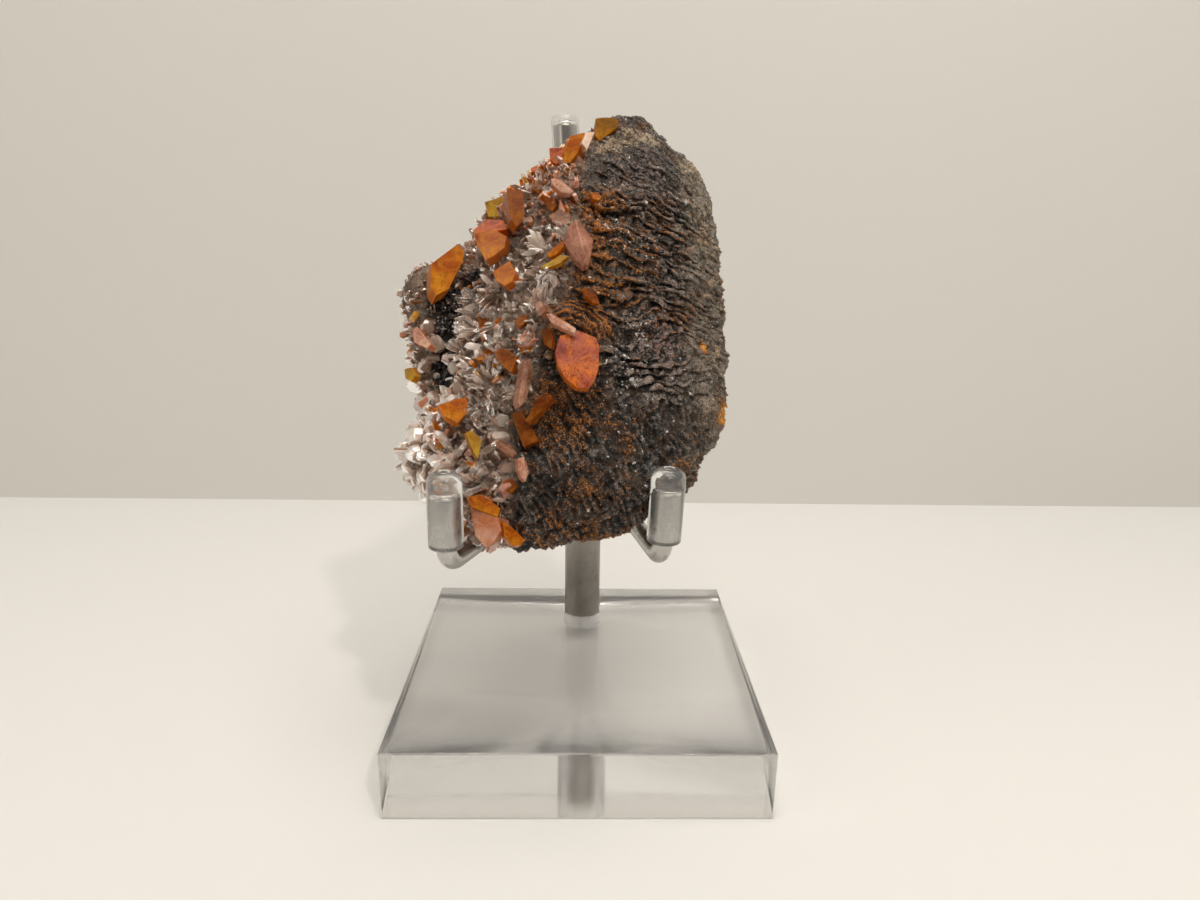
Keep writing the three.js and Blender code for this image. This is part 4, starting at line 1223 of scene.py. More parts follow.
def makeWulfenite(name, face, glow, deep, edge, shine, fibrous, frosted, clear, gloss):
    material, shader = newMaterial(name)
    spot = vectorShare("facePlace")
    split = put("SeparateXYZ", {"Vector": spot}).outputs
    across, up = (maths("ADD", split[i], shift) for i, shift in ((0, 0.7), (2, 0.35)))
    ray = maths("SQRT", maths("ADD", maths("POWER", across, 2.0), maths("POWER", up, 2.0)))
    fan = put("CombineXYZ", {0: times(maths("ARCTAN2", up, across), 5.0), 1: times(ray, 0.9), 2: split[1]})
    bent = put("TexNoise", {"Vector": spot, "Scale": 1.1}).outputs["Color"]
    places = {0: bent, 1: (3.0, 2.0, 2.0), 2: fan.outputs[0]}
    fan = put("VectorMath", places, operation="MULTIPLY_ADD").outputs[0]
    fibre, sector = noise(fan, 1.5, 6.0, 0.7), noise(fan, 0.3, 1.0)
    cloud, broad = noise(spot, 0.3, 1.5), noise(spot, 0.9, 7.0, 0.62)
    frost = noise(spot, 7.0, 6.0, 0.75)
    side, rim = share("side"), share("rim")
    # frosted patches on the broad faces, whose pale colour is partly a painted reflection
    level = 0.72 - 0.4 * frosted
    frostAndReflection = times(spread(broad, level, level + 0.14, 0.0, 0.45), spread(side, 0.0, 1.0, 1.0, 0.45))
    frostAndReflection = times(frostAndReflection, min(1.0, frosted * 2.5))
    color = layered(face, (
        (spread(cloud, 0.5, 0.66), glow),
        (spread(cloud, 0.48, 0.34), deep),
        (spread(sector, 0.52, 0.58, 0.0, 0.7 * fibrous), glow),
        (spread(broad, 0.52, 0.62, 0.0, 0.5), deep),
        (spread(broad, 0.46, 0.38, 0.0, 0.5), glow),
        (times(spread(fibre, 0.48, 0.64), fibrous), deep),
        # painted glow: the edge walls brighter and more orange, as if lit through
        (times(side, 0.7), edge),
        # painted highlight: the brighter colour along the sharp rims
        (times(maths("POWER", rim, 2.0), 0.7), glow),
        (frostAndReflection, wulfeniteFinish["frostAndReflection"]),
        (spread(frost, 0.67, 0.73, 0.0, 0.7), deep),
    ))
    rough = timesPlus(frostAndReflection, wulfeniteFinish["frosted"], wulfeniteFinish["polish"])
    fill(shader.inputs, {
        "Base Color": color,
        "Roughness": timesPlus(spread(frost, 0.4, 0.7), 0.12, rough),
        "IOR": wulfeniteFinish["ior"],
        "Specular IOR Level": gloss,
        "Specular Tint": shine,
        "Transmission Weight": clear,
        **wulfeniteFinish["glow"],
        "Normal": bump(timesPlus(broad, 1.6, timesPlus(fibre, 0.8, frost)), wulfeniteFinish["relief"]),
    })
    return material


wulfeniteMaterials = {
    name: makeWulfenite("wulfenite_" + name, *look) for name, look in wulfeniteLooks.items()
}


def joinParts(name, parts, looks, slots):  # one mesh from several crystals, each in its own look
    vertices, faces, sides, rims, places, picks = [], [], [], [], [], []
    for (points, corners, side, rim, place), pick in zip(parts, slots):
        start = len(vertices)
        vertices += points.tolist()
        faces += [[start + k for k in face] for face in corners]
        sides += side.tolist()
        rims += rim.tolist()
        places += place.ravel().tolist()
        picks += [pick] * len(corners)
    mesh = newMesh(name, vertices, faces)
    for look in looks:
        mesh.materials.append(wulfeniteMaterials[look])
    mesh.polygons.foreach_set("material_index", picks)
    setShares(mesh, side=sides, rim=rims)
    setPlaces(mesh, "facePlace", places)
    finishSmooth(mesh, crystalBuild["sharp"])
    mesh.validate()
    return mesh


def addWulfenite(label, shapes, seed):
    looks = sorted({look for look, *_ in shapes})
    parts = [crystalPart(*form, seed + 3 * k) for k, (_, *form) in enumerate(shapes)]
    mesh = joinParts(f"crystal_{label}", parts, looks, [looks.index(look) for look, *_ in shapes])
    replaced = [] if label == "loose" else [f"wulfenite_{label}"]
    addPiece(f"crystal_{label}", mesh, None, "wulfenite", *replaced)


for number, (label, shapes) in enumerate(wulfeniteShapes.items()):
    addWulfenite(label, shapes, crystalBuild["seed"] + 20 * number)
print("wulfenite grown:", len(wulfeniteShapes), "pieces")

# the druse: small pale crystals over the left side, in zones of their own size and form
druseLook = {
    "milk": (0.84, 0.75, 0.67), "blush": (0.585, 0.43, 0.345), "tea": (0.33, 0.145, 0.056),
    "rustTip": (0.48, 0.15, 0.022), "rough": (0.05, 0.26), "ior": 1.55, "milkClear": 0.62,
    "glass": (0.90, 0.82, 0.76), "glassTea": (0.62, 0.36, 0.20), "glassRough": (0.02, 0.14),
    "glassClear": 0.86, "relief": 0.03, "cloud": 900.0, "fine": 5200.0,
    "glow": {"Subsurface Weight": 0.3, "Subsurface Radius": (1.0, 0.7, 0.5), "Subsurface Scale": 0.5 * mm},
}
# singles, sprays: the gap between them in mm, how many at most, and how many tries to place them
druseShape = {
    "singles": (0.95, 950, 30000), "sprays": (1.25, 310, 6000), "sink": 0.2, "lean": 0.7, "fanSize": 3.2,
    "keepOff": 0.35, "shrink": 0.72, "sprayLeaves": (8, 15), "spraySpread": 0.7, "sprayGrow": 1.4,
    "sprayFoot": 0.5, "sprayStray": 0.11, "rootTint": 0.36, "fineCount": 5200, "fineSize": (0.26, 0.7),
    "sharp": 20, "seed": 77, "fineSeed": 78, "boxKeep": 2e-5,
}
# outlines of one crystal, 1 high: across and up
druseOutlines = {
    "blade": [(-0.17, -0.5), (0.17, -0.5), (0.21, 0.22), (0.07, 0.5), (-0.1, 0.44), (-0.2, 0.2)],
    "wedge": [(-0.14, -0.5), (0.15, -0.5), (0.35, 0.12), (0.27, 0.42), (-0.04, 0.5), (-0.31, 0.3)],
    "feather": [(-0.1, -0.5), (0.12, -0.5), (0.22, -0.05), (0.17, 0.16), (0.24, 0.3), (0.06, 0.5),
                (-0.02, 0.38), (-0.15, 0.45), (-0.2, 0.08)],
    "hexagon": [(-0.25, -0.5), (0.27, -0.48), (0.44, 0.05), (0.2, 0.5), (-0.24, 0.47), (-0.42, 0)],
    "square": [(-0.36, -0.5), (0.36, -0.46), (0.42, 0.34), (0.12, 0.5), (-0.38, 0.4)],
    "disc": [(math.cos(turn) * 0.46, math.sin(turn) * 0.5) for turn in np.arange(8) * math.pi / 4 + 0.2],
    "needle": [(-0.1, -0.5), (0.1, -0.5), (0.12, 0.2), (0.03, 0.5), (-0.12, 0.3)],
    "leaf": [(-0.07, -0.5), (0.08, -0.5), (0.13, 0.2), (0.04, 0.5), (-0.11, 0.32)],
}
druseForms = {  # form: outline, thickness, and how much the rim slopes in
    "blade": ("blade", 0.14, 0.84), "wedge": ("wedge", 0.13, 0.86), "feather": ("feather", 0.08, 0.86),
    "tablet": ("hexagon", 0.15, 0.92), "slab": ("square", 0.24, 0.92), "disc": ("disc", 0.3, 0.76),
    "needle": ("needle", 0.15, 0.7), "barrel": ("disc", 0.75, 0.7), "leaf": ("leaf", 0.065, 0.82),
}
# zones: middle x and z, reach, size range in mm, forms and their shares, colour from 0 to 1, and
# how many of its crystals are glass clear
druseZones = [
    ((-17, -19), (5, 6), (1.5, 3.1), {"barrel": 5, "disc": 2, "tablet": 4, "slab": 3}, 0.48, 0.4),
    ((-18.5, -4), (3.4, 8), (0.9, 2.2), {"barrel": 3, "slab": 3, "tablet": 3, "blade": 2}, 0.5, 0.15),
    ((-9, -11), (5.5, 5.5), (1.0, 2.8), {"wedge": 3, "blade": 4, "feather": 4, "tablet": 3}, 0.14, 0.5),
    ((-6, -1), (5, 4), (0.9, 2.3), {"feather": 6, "wedge": 4, "blade": 3}, 0.28, 0.4),
    ((-3.5, 6), (4, 4), (0.9, 2.0), {"slab": 3, "wedge": 3, "tablet": 3, "feather": 2}, 0.24, 0.5),
    ((-6, 14), (8, 6), (0.7, 1.8), {"blade": 5, "wedge": 3, "tablet": 2, "needle": 2}, 0.8, 0.15),
    ((0, 20), (6, 5), (0.5, 1.4), {"blade": 4, "needle": 3, "wedge": 2}, 0.95, 0.1),
    ((-10, -20), (4, 5), (1.0, 2.8), {"blade": 5, "wedge": 3, "slab": 3, "tablet": 2}, 0.4, 0.45),
    ((-6, -28), (5, 4), (0.8, 2.0), {"slab": 4, "tablet": 3, "wedge": 2}, 0.5, 0.4),
    ((-13, 5), (4, 4), (0.9, 2.0), {"blade": 5, "feather": 3, "slab": 2}, 0.62, 0.3),
    ((-21, 4), (2.6, 2.6), (0.6, 1.3), {"barrel": 4, "slab": 3, "wedge": 2}, 1.0, 0.05),
]


def prototype(form):
    outline, thick, slope = druseForms[form]
    rim = np.array(druseOutlines[outline], float)
    count = len(rim)
    middle = rim.mean(axis=0)
    points, faces = [], []
    for depth, scale in ((-0.5, slope), (-0.2, 1.0), (0.2, 1.0), (0.5, slope)):
        for x, z in middle + (rim - middle) * scale:
            points.append((x, depth * thick, z))
    points += [(middle[0], -0.52 * thick, middle[1]), (middle[0], 0.52 * thick, middle[1])]
    for ring in range(3):
        for k in range(count):
            n = (k + 1) % count
            low, high = ring * count, (ring + 1) * count
            faces += [(low + k, low + n, high + n), (low + k, high + n, high + k)]
    for k in range(count):
        n = (k + 1) % count
        faces += [(4 * count, n, k), (4 * count + 1, 3 * count + k, 3 * count + n)]
    return np.array(points), np.array(faces)


def pointPrototype():  # a small six-sided point, for the fine druse between the larger crystals
    turns = [k * math.pi / 3 + 0.2 for k in range(6)]
    points = [(0.34 * math.cos(t), 0.26 * math.sin(t), z) for z in (-0.5, 0.12) for t in turns]
    points += [(0.06, 0.02, 0.5), (0, 0, -0.5)]
    faces = []
    for k in range(6):
        n = (k + 1) % 6
        faces += [(k, n, 6 + n), (k, 6 + n, 6 + k), (6 + k, 6 + n, 12), (13, n, k)]
    return np.array(points), np.array(faces)


prototypes = {form: prototype(form) for form in druseForms}
prototypes["point"] = pointPrototype()


def surfaceFacts(mesh):  # middle, normal and area of every face, in the leaning frame
    middles, normals = (readArray(mesh.polygons, name, 3) for name in ("center", "normal"))
    areas = readArray(mesh.polygons, "area", 1).ravel()
    return moved(middles, toLean), turned(normals, toLean), areas / mm ** 2


def scatter(places, weights, gap, most, tries, rng):  # picks places that keep their distance
    order = rng.choice(len(places), size=tries, p=weights / weights.sum())
    cells, picked = {}, []
    for index in order:
        spot = places[index]
        key = tuple(np.floor(spot).astype(int))
        near = [
            other for dx in (-1, 0, 1) for dy in (-1, 0, 1) for dz in (-1, 0, 1)
            for other in cells.get((key[0] + dx, key[1] + dy, key[2] + dz), ())
        ]
        if any(((places[other] - spot) ** 2).sum() < gap * gap for other in near):
            continue
        cells.setdefault(key, []).append(index)
        picked.append(index)
        if len(picked) >= most:
            break
    return picked


def druseWeight(local, facing):
    edge = edgeDistance(local)
    seen = smoothStep(-facing[:, 1] - 0.9 * facing[:, 0], -0.55, 0.0)
    left = smoothStep(-edge, -0.7, 0.4) * seen
    valley = smoothStep(-lineDistance(local, valleyLine), -1.8, -0.9)
    return left * (1 - 0.86 * valley) * (1 - 0.6 * blob(local, (-21, 4), (3, 3)))


def drawFrom(shares, rng):  # the number of one entry, drawn by its share
    chances = np.array(shares, float)
    return rng.choice(len(chances), p=chances / chances.sum())


def zoneOf(spot, rng):
    pulls = [
        math.exp(-((spot[0] - at[0]) / reach[0]) ** 2 - ((spot[2] - at[1]) / reach[1]) ** 2) + 1e-6
        for at, reach, *_ in druseZones
    ]
    return druseZones[drawFrom(pulls, rng)]


def standing(up, hint):  # a turn whose third axis is up, with its first across it
    up = up / np.linalg.norm(up)
    across = np.cross(up, hint)
    across /= np.linalg.norm(across)
    return np.column_stack([across, np.cross(up, across), up])


def placeCrystal(form, size, turn, spot, sink, rng):
    points, _ = prototypes[form]
    stretch = np.array((rng.uniform(0.75, 1.25), rng.uniform(0.8, 1.4), 1)) * size
    placed = (points * stretch) @ turn.T + spot + turn[:, 2] * size * (0.5 - sink)
    return placed + rng.normal(size=placed.shape) * 0.012 * size


def nearHero(spot):
    return wulfeniteTree.find_nearest(Vector(moved(spot[None], fromLean)[0]), druseShape["keepOff"] * mm)[3]


def bareRim(spot):  # how much of the dark stone shows at the upper left rim
    return blob(spot[None], (-21, 4), (3, 4.5))[0]


def druseCrystals(rng):  # single crystals all over, then sprays of leaves that stand out of them
    local, facing, areas = surfaceFacts(rockMesh)
    weights = druseWeight(local, facing) * areas
    singles = scatter(local, weights, *druseShape["singles"], rng)
    sprays = scatter(local, weights, *druseShape["sprays"], rng)
    lean = np.column_stack([smoothNoise(local, druseShape["fanSize"], salt) for salt in (61, 62, 63)])
    placed = []
    for number, index in enumerate(singles + sprays):
        spot, normal = local[index], facing[index]
        _, _, sizes, forms, hue, clear = zoneOf(spot, rng)
        size = sizes[0] + (sizes[1] - sizes[0]) * rng.random() ** 2
        if nearHero(spot) is not None:
            size *= druseShape["shrink"]
        size *= 1 - 0.5 * bareRim(spot)
        up = normal + lean[index] * 1.5 + rng.normal(size=3) * druseShape["lean"] * 0.5
        up += np.array((-0.25, 0, 0.1))
        hint = rng.normal(size=3) + lean[index][::-1] * 3
        hue = np.clip(hue + rng.normal() * 0.22, 0, 1)
        glass = rng.random() < clear
        if number < len(singles) or (spot[0] < -12.5 and spot[2] < -12):
            form = list(forms)[drawFrom(list(forms.values()), rng)]
            turn = standing(up, hint)
            placed.append((form, placeCrystal(form, size, turn, spot, druseShape["sink"], rng), hue, glass))
            continue
        size *= 0.62 + 0.38 * smoothStep(spot[0], -18, -12)
        placed += sprayLeaves(spot, up, hint, size, hue, rng)
    return placed


def sprayLeaves(spot, up, hint, size, hue, rng):  # thin leaves that fan out of one foot, tightly packed
    across, thick, up = standing(up, hint).T
    count = rng.integers(*druseShape["sprayLeaves"])
    stray = druseShape["sprayStray"]
    leaves = []
    for leaf in range(count):
        part = (leaf + rng.uniform(-0.3, 0.3)) / (count - 1) - 0.5
        leafUp = up + across * part * 2 * druseShape["spraySpread"] + rng.normal(size=3) * stray
        foot = spot + across * part * size * druseShape["sprayFoot"] + thick * rng.normal() * 0.14 * size
        grown = size * druseShape["sprayGrow"] * rng.uniform(0.6, 1.15) * (1.1 - 0.5 * abs(part))
        turn = standing(leafUp, thick + rng.normal(size=3) * 0.22)
        upper = smoothStep(spot[2], 5, 12)
        glass = rng.random() < 0.3 - 0.25 * upper
        leafHue = hue * (0.75 + 0.3 * upper) + rng.normal() * 0.1
        leaves.append(("leaf", placeCrystal("leaf", grown, turn, foot, 0.12, rng), leafHue, glass))
    return leaves


def fineDruse(rng):  # small points packed between the larger crystals
    local, facing, areas = surfaceFacts(rockMesh)
    weights = druseWeight(local, facing) * areas
    picked = rng.choice(len(local), druseShape["fineCount"], replace=False, p=weights / weights.sum())
    low, high = druseShape["fineSize"]
    placed = []
    for index in picked:
        spot = local[index]
        upper = smoothStep(spot[2], 4, 15)
        hue = np.clip(0.42 + 0.5 * upper + rng.normal() * 0.22, 0, 1)
        size = low + (high - low) * rng.random() ** 1.5
        turn = standing(facing[index] + rng.normal(size=3) * 0.45, rng.normal(size=3))
        glass = rng.random() < 0.3 - 0.25 * upper
        if bareRim(spot) > 0.3 and index % 3:
            continue
        placed.append(("point", placeCrystal("point", size, turn, spot, 0.3, rng), hue, glass))
    return placed


def joinCrystals(name, placed):  # one mesh of many small crystals, milky ones first in its materials
    vertices, faces, tints, picks, total = [], [], [], [], 0
    for form, points, hue, glass in placed:
        vertices.append(points)
        faces.append(prototypes[form][1] + total)
        total += len(points)
        roots = druseShape["rootTint"] * (0.5 - prototypes[form][0][:, 2]) ** 1.5
        tints += np.clip(hue + roots - 0.13, 0, 1).tolist()
        picks += [int(glass)] * len(prototypes[form][1])
    world = moved(np.vstack(vertices), fromLean)
    mesh = newMesh(name, keptInside(world, druseShape["boxKeep"]), np.vstack(faces))
    setShares(mesh, tint=tints)
    addPiece(name, mesh, druseMaterials, "pale_crystal")
    mesh.polygons.foreach_set("material_index", picks)
    finishSmooth(mesh, druseShape["sharp"])
    print(name, "grown:", len(placed), "crystals,", len(mesh.polygons), "triangles")


def makeDruseMaterial(name, looks, rough, clear):
    material, shader = newMaterial(name)
    place = objectPlace()
    cloud, fine = (noise(place, druseLook[key], 3.0) for key in ("cloud", "fine"))
    tint = timesPlus(cloud, 0.6, maths("ADD", share("tint"), -0.3))
    color = layered(druseLook[looks[0]], (
        (spread(tint, 0.0, 0.3), druseLook[looks[1]]),
        (spread(tint, 0.45, 0.8), druseLook[looks[2]]),
        (spread(tint, 0.85, 1.0, 0.0, 0.8), druseLook["rustTip"]),
    ))
    fill(shader.inputs, {
        "Base Color": color,
        "Roughness": spread(fine, 0.35, 0.7, *rough),
        "IOR": druseLook["ior"],
        "Transmission Weight": clear,
        **druseLook["glow"],
        "Normal": bump(fine, druseLook["relief"]),
    })
    return material


druseMaterials = [
    makeDruseMaterial("milkyDruse", ("milk", "blush", "tea"), druseLook["rough"], druseLook["milkClear"]),
    makeDruseMaterial("glassyDruse", ("glass", "glass", "glassTea"), druseLook["glassRough"],
                      druseLook["glassClear"]),
]
joinCrystals("druse", druseCrystals(np.random.default_rng(druseShape["seed"])))
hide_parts("pale_crust")
joinCrystals("fine_druse", fineDruse(np.random.default_rng(druseShape["fineSeed"])))

# small wulfenite tablets between the large ones, in their own colours: gap, most and tries
smallShape = {
    "picks": (0.85, 340, 4000), "size": (0.6, 2.0), "lean": 0.6, "sink": 0.12, "seed": 91,
    "looks": {"orange": 4, "coral": 4, "brown": 5, "blush": 3, "rose": 3, "umber": 3, "amber": 2},
}


def addSmallWulfenite():
    rng = np.random.default_rng(smallShape["seed"])
    local, facing, areas = surfaceFacts(rockMesh)
    weights = druseWeight(local, facing) * areas * (0.25 + 3.2 * smoothStep(local[:, 2], 6, 13))
    weights *= 1 + 2.2 * blob(local, (-7.5, -23), (5, 7))
    picked = scatter(local, weights, *smallShape["picks"], rng)
    looks = list(smallShape["looks"])
    parts, slots = [], []
    for index in picked:
        spot = local[index]
        if nearHero(spot) is not None:
            continue
        low, high = smallShape["size"]
        size = low + (high - low) * rng.random() ** 1.8
        form = ("tablet", "blade", "wedge", "slab")[rng.integers(4)]
        up = facing[index] + rng.normal(size=3) * smallShape["lean"]
        turn = standing(up, rng.normal(size=3))
        points, corners = prototypes[form]
        stretch = np.array((rng.uniform(0.8, 1.2), rng.uniform(1.3, 2.4), 1)) * size
        placed = (points * stretch) @ turn.T + spot + turn[:, 2] * size * (0.62 - smallShape["sink"])
        # the outer part is side and, at 0.6, rim: where the material paints its edge glow and rim highlight
        side = smoothStep(np.linalg.norm(points[:, [0, 2]], axis=1), 0.15, 0.45)
        parts.append((moved(placed, fromLean), corners.tolist(), side, side * 0.6, points * stretch))
        slots.append(drawFrom(list(smallShape["looks"].values()), rng))
    mesh = joinParts("small_wulfenite", parts, looks, slots)
    addPiece("small_wulfenite", mesh, None, "wulfenite")
    print("small wulfenite grown:", len(parts))


addSmallWulfenite()

# rounded glassy black lumps in the open valley on the left
lumpShape = {"count": 46, "size": (0.45, 1.35), "reach": 1.5, "steps": 2, "wobble": 0.35, "seed": 15}
lumpLook = {
    "color": (0.012, 0.010, 0.010), "brown": (0.07, 0.038, 0.02), "rough": (0.08, 0.22), "grain": 0.3,
    "relief": 0.02,
}


def surfaceTree(mesh):
    return BVHTree.FromPolygons([v.co for v in mesh.vertices], [list(p.vertices) for p in mesh.polygons])


def onRock(tree, x, z):  # the rock's surface seen from the front at x, z
    start, ahead = fromLean @ (x, -60, z, 1), fromLean[:3, 1] / mm
    found = tree.ray_cast(Vector(start[:3]), Vector(ahead))
    if found[0] is None:
        return None, None
    return moved(np.array([found[0]]), toLean)[0], turned(np.array([found[1]]), toLean)[0]


def joinBalls(name, balls):  # knobbly balls joined into one mesh
    body = bmesh.new()
    bmesh.ops.create_icosphere(body, subdivisions=lumpShape["steps"], radius=1)
    unit = np.array([v.co for v in body.verts])
    corners = np.array([[v.index for v in face.verts] for face in body.faces])
    body.free()
    vertices, faces = [], []
    for number, (spot, size) in enumerate(balls):
        bulge = 1 + lumpShape["wobble"] * smoothNoise(unit + 3.7 * number, 0.9, 5)
        vertices.append(unit * bulge[:, None] * size / 2 + spot)
        faces.append(corners + len(unit) * number)
    mesh = newMesh(name, moved(np.vstack(vertices), fromLean), np.vstack(faces))
    mesh.shade_smooth()
    return mesh


def makeLumpMaterial():
    material, shader = newMaterial("glassyLumps")
    place = objectPlace()
    cloud = noise(place, 700.0, 3.0)
    grain = useGroup(grainGroup, Vector=place, Size=lumpLook["grain"])
    fill(shader.inputs, {
        "Base Color": mixColor(spread(cloud, 0.5, 0.75), lumpLook["color"], lumpLook["brown"]),
        "Roughness": spread(grain["Random"], 0.0, 1.0, *lumpLook["rough"]),
        "Normal": bump(grain["Height"], lumpLook["relief"]),
    })
    return material


def addLumps(tree):
    rng = np.random.default_rng(lumpShape["seed"])
    balls = []
    line = np.array(valleyLine)
    for _ in range(lumpShape["count"]):
        part = rng.uniform(0, len(line) - 1)
        first = int(part)
        spot = line[first] + (line[first + 1] - line[first]) * (part - first)
        spot = spot + rng.normal(size=2) * lumpShape["reach"] * 0.5
        hit, normal = onRock(tree, *spot)
        if hit is not None:
            size = rng.uniform(*lumpShape["size"])
            balls.append((hit + normal * size * 0.12, size))
    addPiece("glassy_lumps", joinBalls("glassy_lumps", balls), [makeLumpMaterial()], "rock")


# grains: tiny facetted crystals on the rock, rusty along the crests and clear where they glitter
grainShape = {
    "seed": 33, "count": 15000, "size": (0.08, 0.24), "glitter": 420, "glitterSize": (0.1, 0.32),
    "bright": [(7.3, -10.9, 0.6), (7.9, -11.6, 0.85), (7.4, -12.4, 0.5), (8.3, -12.3, 0.45),
               (6.8, -11.7, 0.4), (15.2, 13.3, 0.75)],
}
grainLook = {
    "dark": (0.05, 0.043, 0.037), "grey": (0.24, 0.215, 0.19), "brown": (0.20, 0.062, 0.013),
    "orange": (0.62, 0.23, 0.035), "clear": (0.93, 0.91, 0.88),
    "rough": (0.12, 0.4), "relief": 0.01, "clearRough": (0.02, 0.15), "clearIor": 1.7, "clearPass": 0.5,
}


def makeGrainMaterial():
    material, shader = newMaterial("rockGrains")
    fine = noise(objectPlace(), 6000.0, 2.0)
    tint = share("tint")
    color = layered(grainLook["dark"], (
        (spread(tint, 0.0, 0.4), grainLook["grey"]),
        (spread(tint, 0.48, 0.52), grainLook["brown"]),
        (spread(tint, 0.6, 0.95), grainLook["orange"]),
    ))
    fill(shader.inputs, {
        "Base Color": color,
        "Roughness": spread(fine, 0.3, 0.7, *grainLook["rough"]),
        "Normal": bump(fine, grainLook["relief"]),
    })
    return material


def makeGlitterMaterial():
    material, shader = newMaterial("clearGlitter")
    fine = noise(objectPlace(), 5000.0, 2.0)
    fill(shader.inputs, {
        "Base Color": grainLook["clear"],
        "Roughness": spread(fine, 0.3, 0.7, *grainLook["clearRough"]),
        "IOR": grainLook["clearIor"],
        "Transmission Weight": grainLook["clearPass"],
    })
    return material


def grainMesh(name, spots, sizes, tints, rng):  # one octahedron at each spot
    unit = np.array([(1, 0, 0), (-1, 0, 0), (0, 1, 0), (0, -1, 0), (0, 0, 1), (0, 0, -1)], float)
    corners = np.array([
        (0, 2, 4), (2, 1, 4), (1, 3, 4), (3, 0, 4), (2, 0, 5), (1, 2, 5), (3, 1, 5), (0, 3, 5),
    ])
    count = len(spots)
    spins = np.linalg.qr(rng.normal(size=(count, 3, 3)))[0]
    scales = rng.uniform(0.6, 1.3, size=(count, 1, 3)) * sizes[:, None, None] / 2
    points = np.einsum("nij,nkj->nki", spins, unit[None] * scales) + spots[:, None]
    faces = (corners[None] + 6 * np.arange(count)[:, None, None]).reshape(-1, 3)
    mesh = newMesh(name, moved(points.reshape(-1, 3), fromLean), faces)
    setShares(mesh, tint=np.repeat(tints, 6))
    return mesh


def addGrains(facts, tree):
    rng = np.random.default_rng(grainShape["seed"])
    local, facing, areas = surfaceFacts(rockMesh)
    corner = np.array([polygon.vertices[0] for polygon in rockMesh.polygons])
    crest, rust, flank = facts["crest"][corner], facts["rust"][corner], facts["flank"][corner]
    right = smoothStep(edgeDistance(local), -0.4, 1.0)
    chance = areas * right * (0.08 + 0.7 * rust + 0.25 * crest) * smoothStep(crest, 0.3, 0.65)
    chance *= 1 - 0.75 * flank
    picked = rng.choice(len(local), size=grainShape["count"], replace=False, p=chance / chance.sum())
    low, high = grainShape["size"]
    sizes = low + (high - low) * rng.random(len(picked)) ** 2
    jitter = rng.normal(size=(len(picked), 3)) * 0.05
    spots = local[picked] + jitter + facing[picked] * sizes[:, None] * 0.15
    rusty = rng.random(len(picked)) < np.clip(rust[picked] * 1.25, 0.03, 0.93)
    tints = np.where(rusty, rng.uniform(0.5, 1, len(picked)), rng.uniform(0, 0.42, len(picked)))
    mesh = grainMesh("rock_grains", spots, sizes, tints, rng)
    addPiece("rock_grains", mesh, [makeGrainMaterial()], "rock")
    chance = areas * right * facts["sparkle"][corner] ** 2 * smoothStep(crest, 0.35, 0.6)
    picked = rng.choice(len(local), size=grainShape["glitter"], replace=False, p=chance / chance.sum())
    sizes = rng.uniform(*grainShape["glitterSize"], len(picked))
    spots = local[picked] + facing[picked] * sizes[:, None] * 0.3
    bright = [(onRock(tree, x, z)[0], size) for x, z, size in grainShape["bright"]]
    spots = np.vstack([spots, [spot for spot, _ in bright]])
    sizes = np.concatenate([sizes, [size for _, size in bright]])
    mesh = grainMesh("clear_glitter", spots, sizes, np.ones(len(sizes)), rng)
    addPiece("clear_glitter", mesh, [makeGlitterMaterial()], "pale_crystal")
    print("grains set:", grainShape["count"] + grainShape["glitter"])


rockTree = surfaceTree(rockMesh)
addLumps(rockTree)
addGrains(rockFacts, rockTree)

# the table, the wall behind it and the light
stageLook = {
    "floorHalf": 900, "floorBack": 105, "floorGap": 0.02, "wallHigh": 900,
    "floor": (0.775, 0.772, 0.765), "wall": (0.74, 0.73, 0.70), "rough": 0.7, "shine": 0.25, "cloud": 6.0,
}
lightLook = {
    "warm": (1.0, 0.935, 0.845), "worldTop": 0.545, "worldSide": 0.50, "worldFront": 0.17,
    "aim": (0, 0, 50), "bounces": 28,
    "ceiling": {"at": (40, -100, 470), "size": 340, "watts": 1.26},
    "window": {"at": (-520, -260, 330), "size": 260, "watts": 0.35},
    "spark": {"at": (150, -330, 420), "size": 26, "watts": 0.6},
}


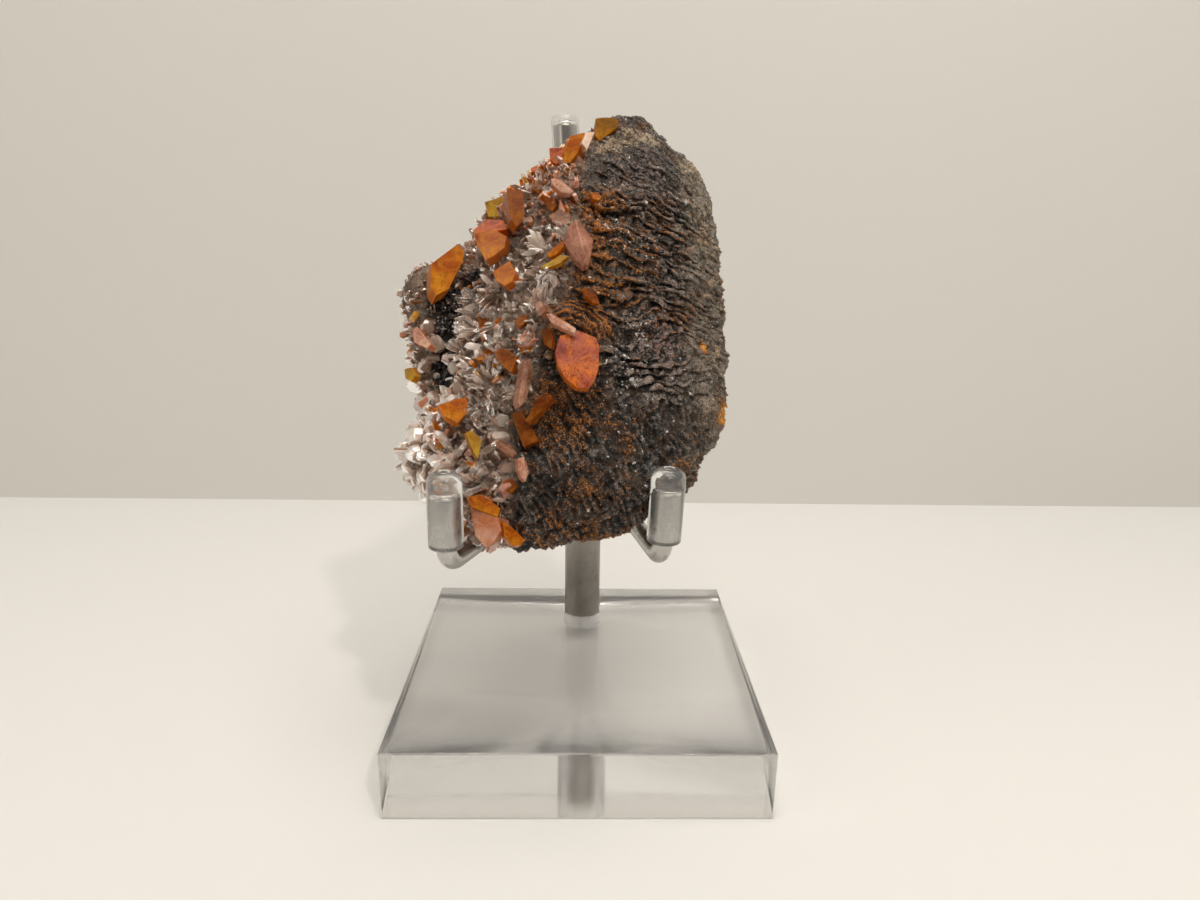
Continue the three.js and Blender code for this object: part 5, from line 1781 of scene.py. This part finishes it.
def makeStageMaterial(name, color, oneSided):
    material, shader = newMaterial(name)
    cloud = noise(objectPlace(), stageLook["cloud"], 3.0)
    shade = [channel * 0.97 for channel in color]
    fill(shader.inputs, {
        "Base Color": mixColor(cloud, shade, color),
        "Roughness": stageLook["rough"],
        "Specular IOR Level": stageLook["shine"],
    })
    if oneSided:  # seen from behind, the wall lets the view through
        clear = put("BsdfTransparent")
        behind = put("NewGeometry").outputs["Backfacing"]
        pick = put("MixShader", {0: behind, 1: shader.outputs[0], 2: clear.outputs[0]})
        fill(canvas["tree"].nodes["Material Output"].inputs, {"Surface": pick.outputs[0]})
    return material


def addStage():
    half, back, high = stageLook["floorHalf"], stageLook["floorBack"], stageLook["wallHigh"]
    level = -stageLook["floorGap"]
    sheets = {
        "floor": [(-half, -half, level), (half, -half, level), (half, back, level), (-half, back, level)],
        "wall": [(-half, back, level), (half, back, level), (half, back, high), (-half, back, high)],
    }
    for name, corners in sheets.items():
        mesh = newMesh(name, [Vector(corner) * mm for corner in corners], [(0, 1, 2, 3)])
        mesh.materials.append(makeStageMaterial(name, stageLook[name], name == "wall"))
        surface = bpy.data.objects.new(name, mesh)
        scene.collection.objects.link(surface)


def addArea(name, settings):
    lamp = bpy.data.lights.new(name, "AREA")
    lamp.size = settings["size"] * mm
    lamp.energy = settings["watts"]
    lamp.color = lightLook["warm"]
    place = bpy.data.objects.new(name, lamp)
    place.location = Vector(settings["at"]) * mm
    aim = Vector(lightLook["aim"]) * mm - place.location
    place.rotation_euler = aim.to_track_quat("-Z", "Y").to_euler()
    scene.collection.objects.link(place)


def addWorld():
    world = bpy.data.worlds.new("room")
    scene.world = world
    world.use_nodes = True
    canvas["tree"] = world.node_tree
    split = put("SeparateXYZ", {"Vector": put("TexCoord").outputs["Generated"]}).outputs
    up = spread(split[2], 0.0, 0.7, lightLook["worldSide"], lightLook["worldTop"])
    front = spread(split[1], -0.25, -0.8)  # the room in front of the table is darker
    dark = times(front, spread(split[2], 0.85, 0.5))
    keep = spread(dark, 0.0, 1.0, 1.0, lightLook["worldFront"])
    sky = world.node_tree.nodes["Background"].inputs
    fill(sky, {"Color": lightLook["warm"], "Strength": times(up, keep)})


addStage()
addWorld()
for lampName in ("ceiling", "window", "spark"):
    addArea(lampName, lightLook[lampName])
scene.view_settings.view_transform = "Standard"
scene.cycles.blur_glossy = 0  # keeps the light under the clear block
scene.cycles.max_bounces = lightLook["bounces"]  # light that is caught inside the block finds its way out
scene.cycles.transmission_bounces = lightLook["bounces"]
print("stage and lights set")
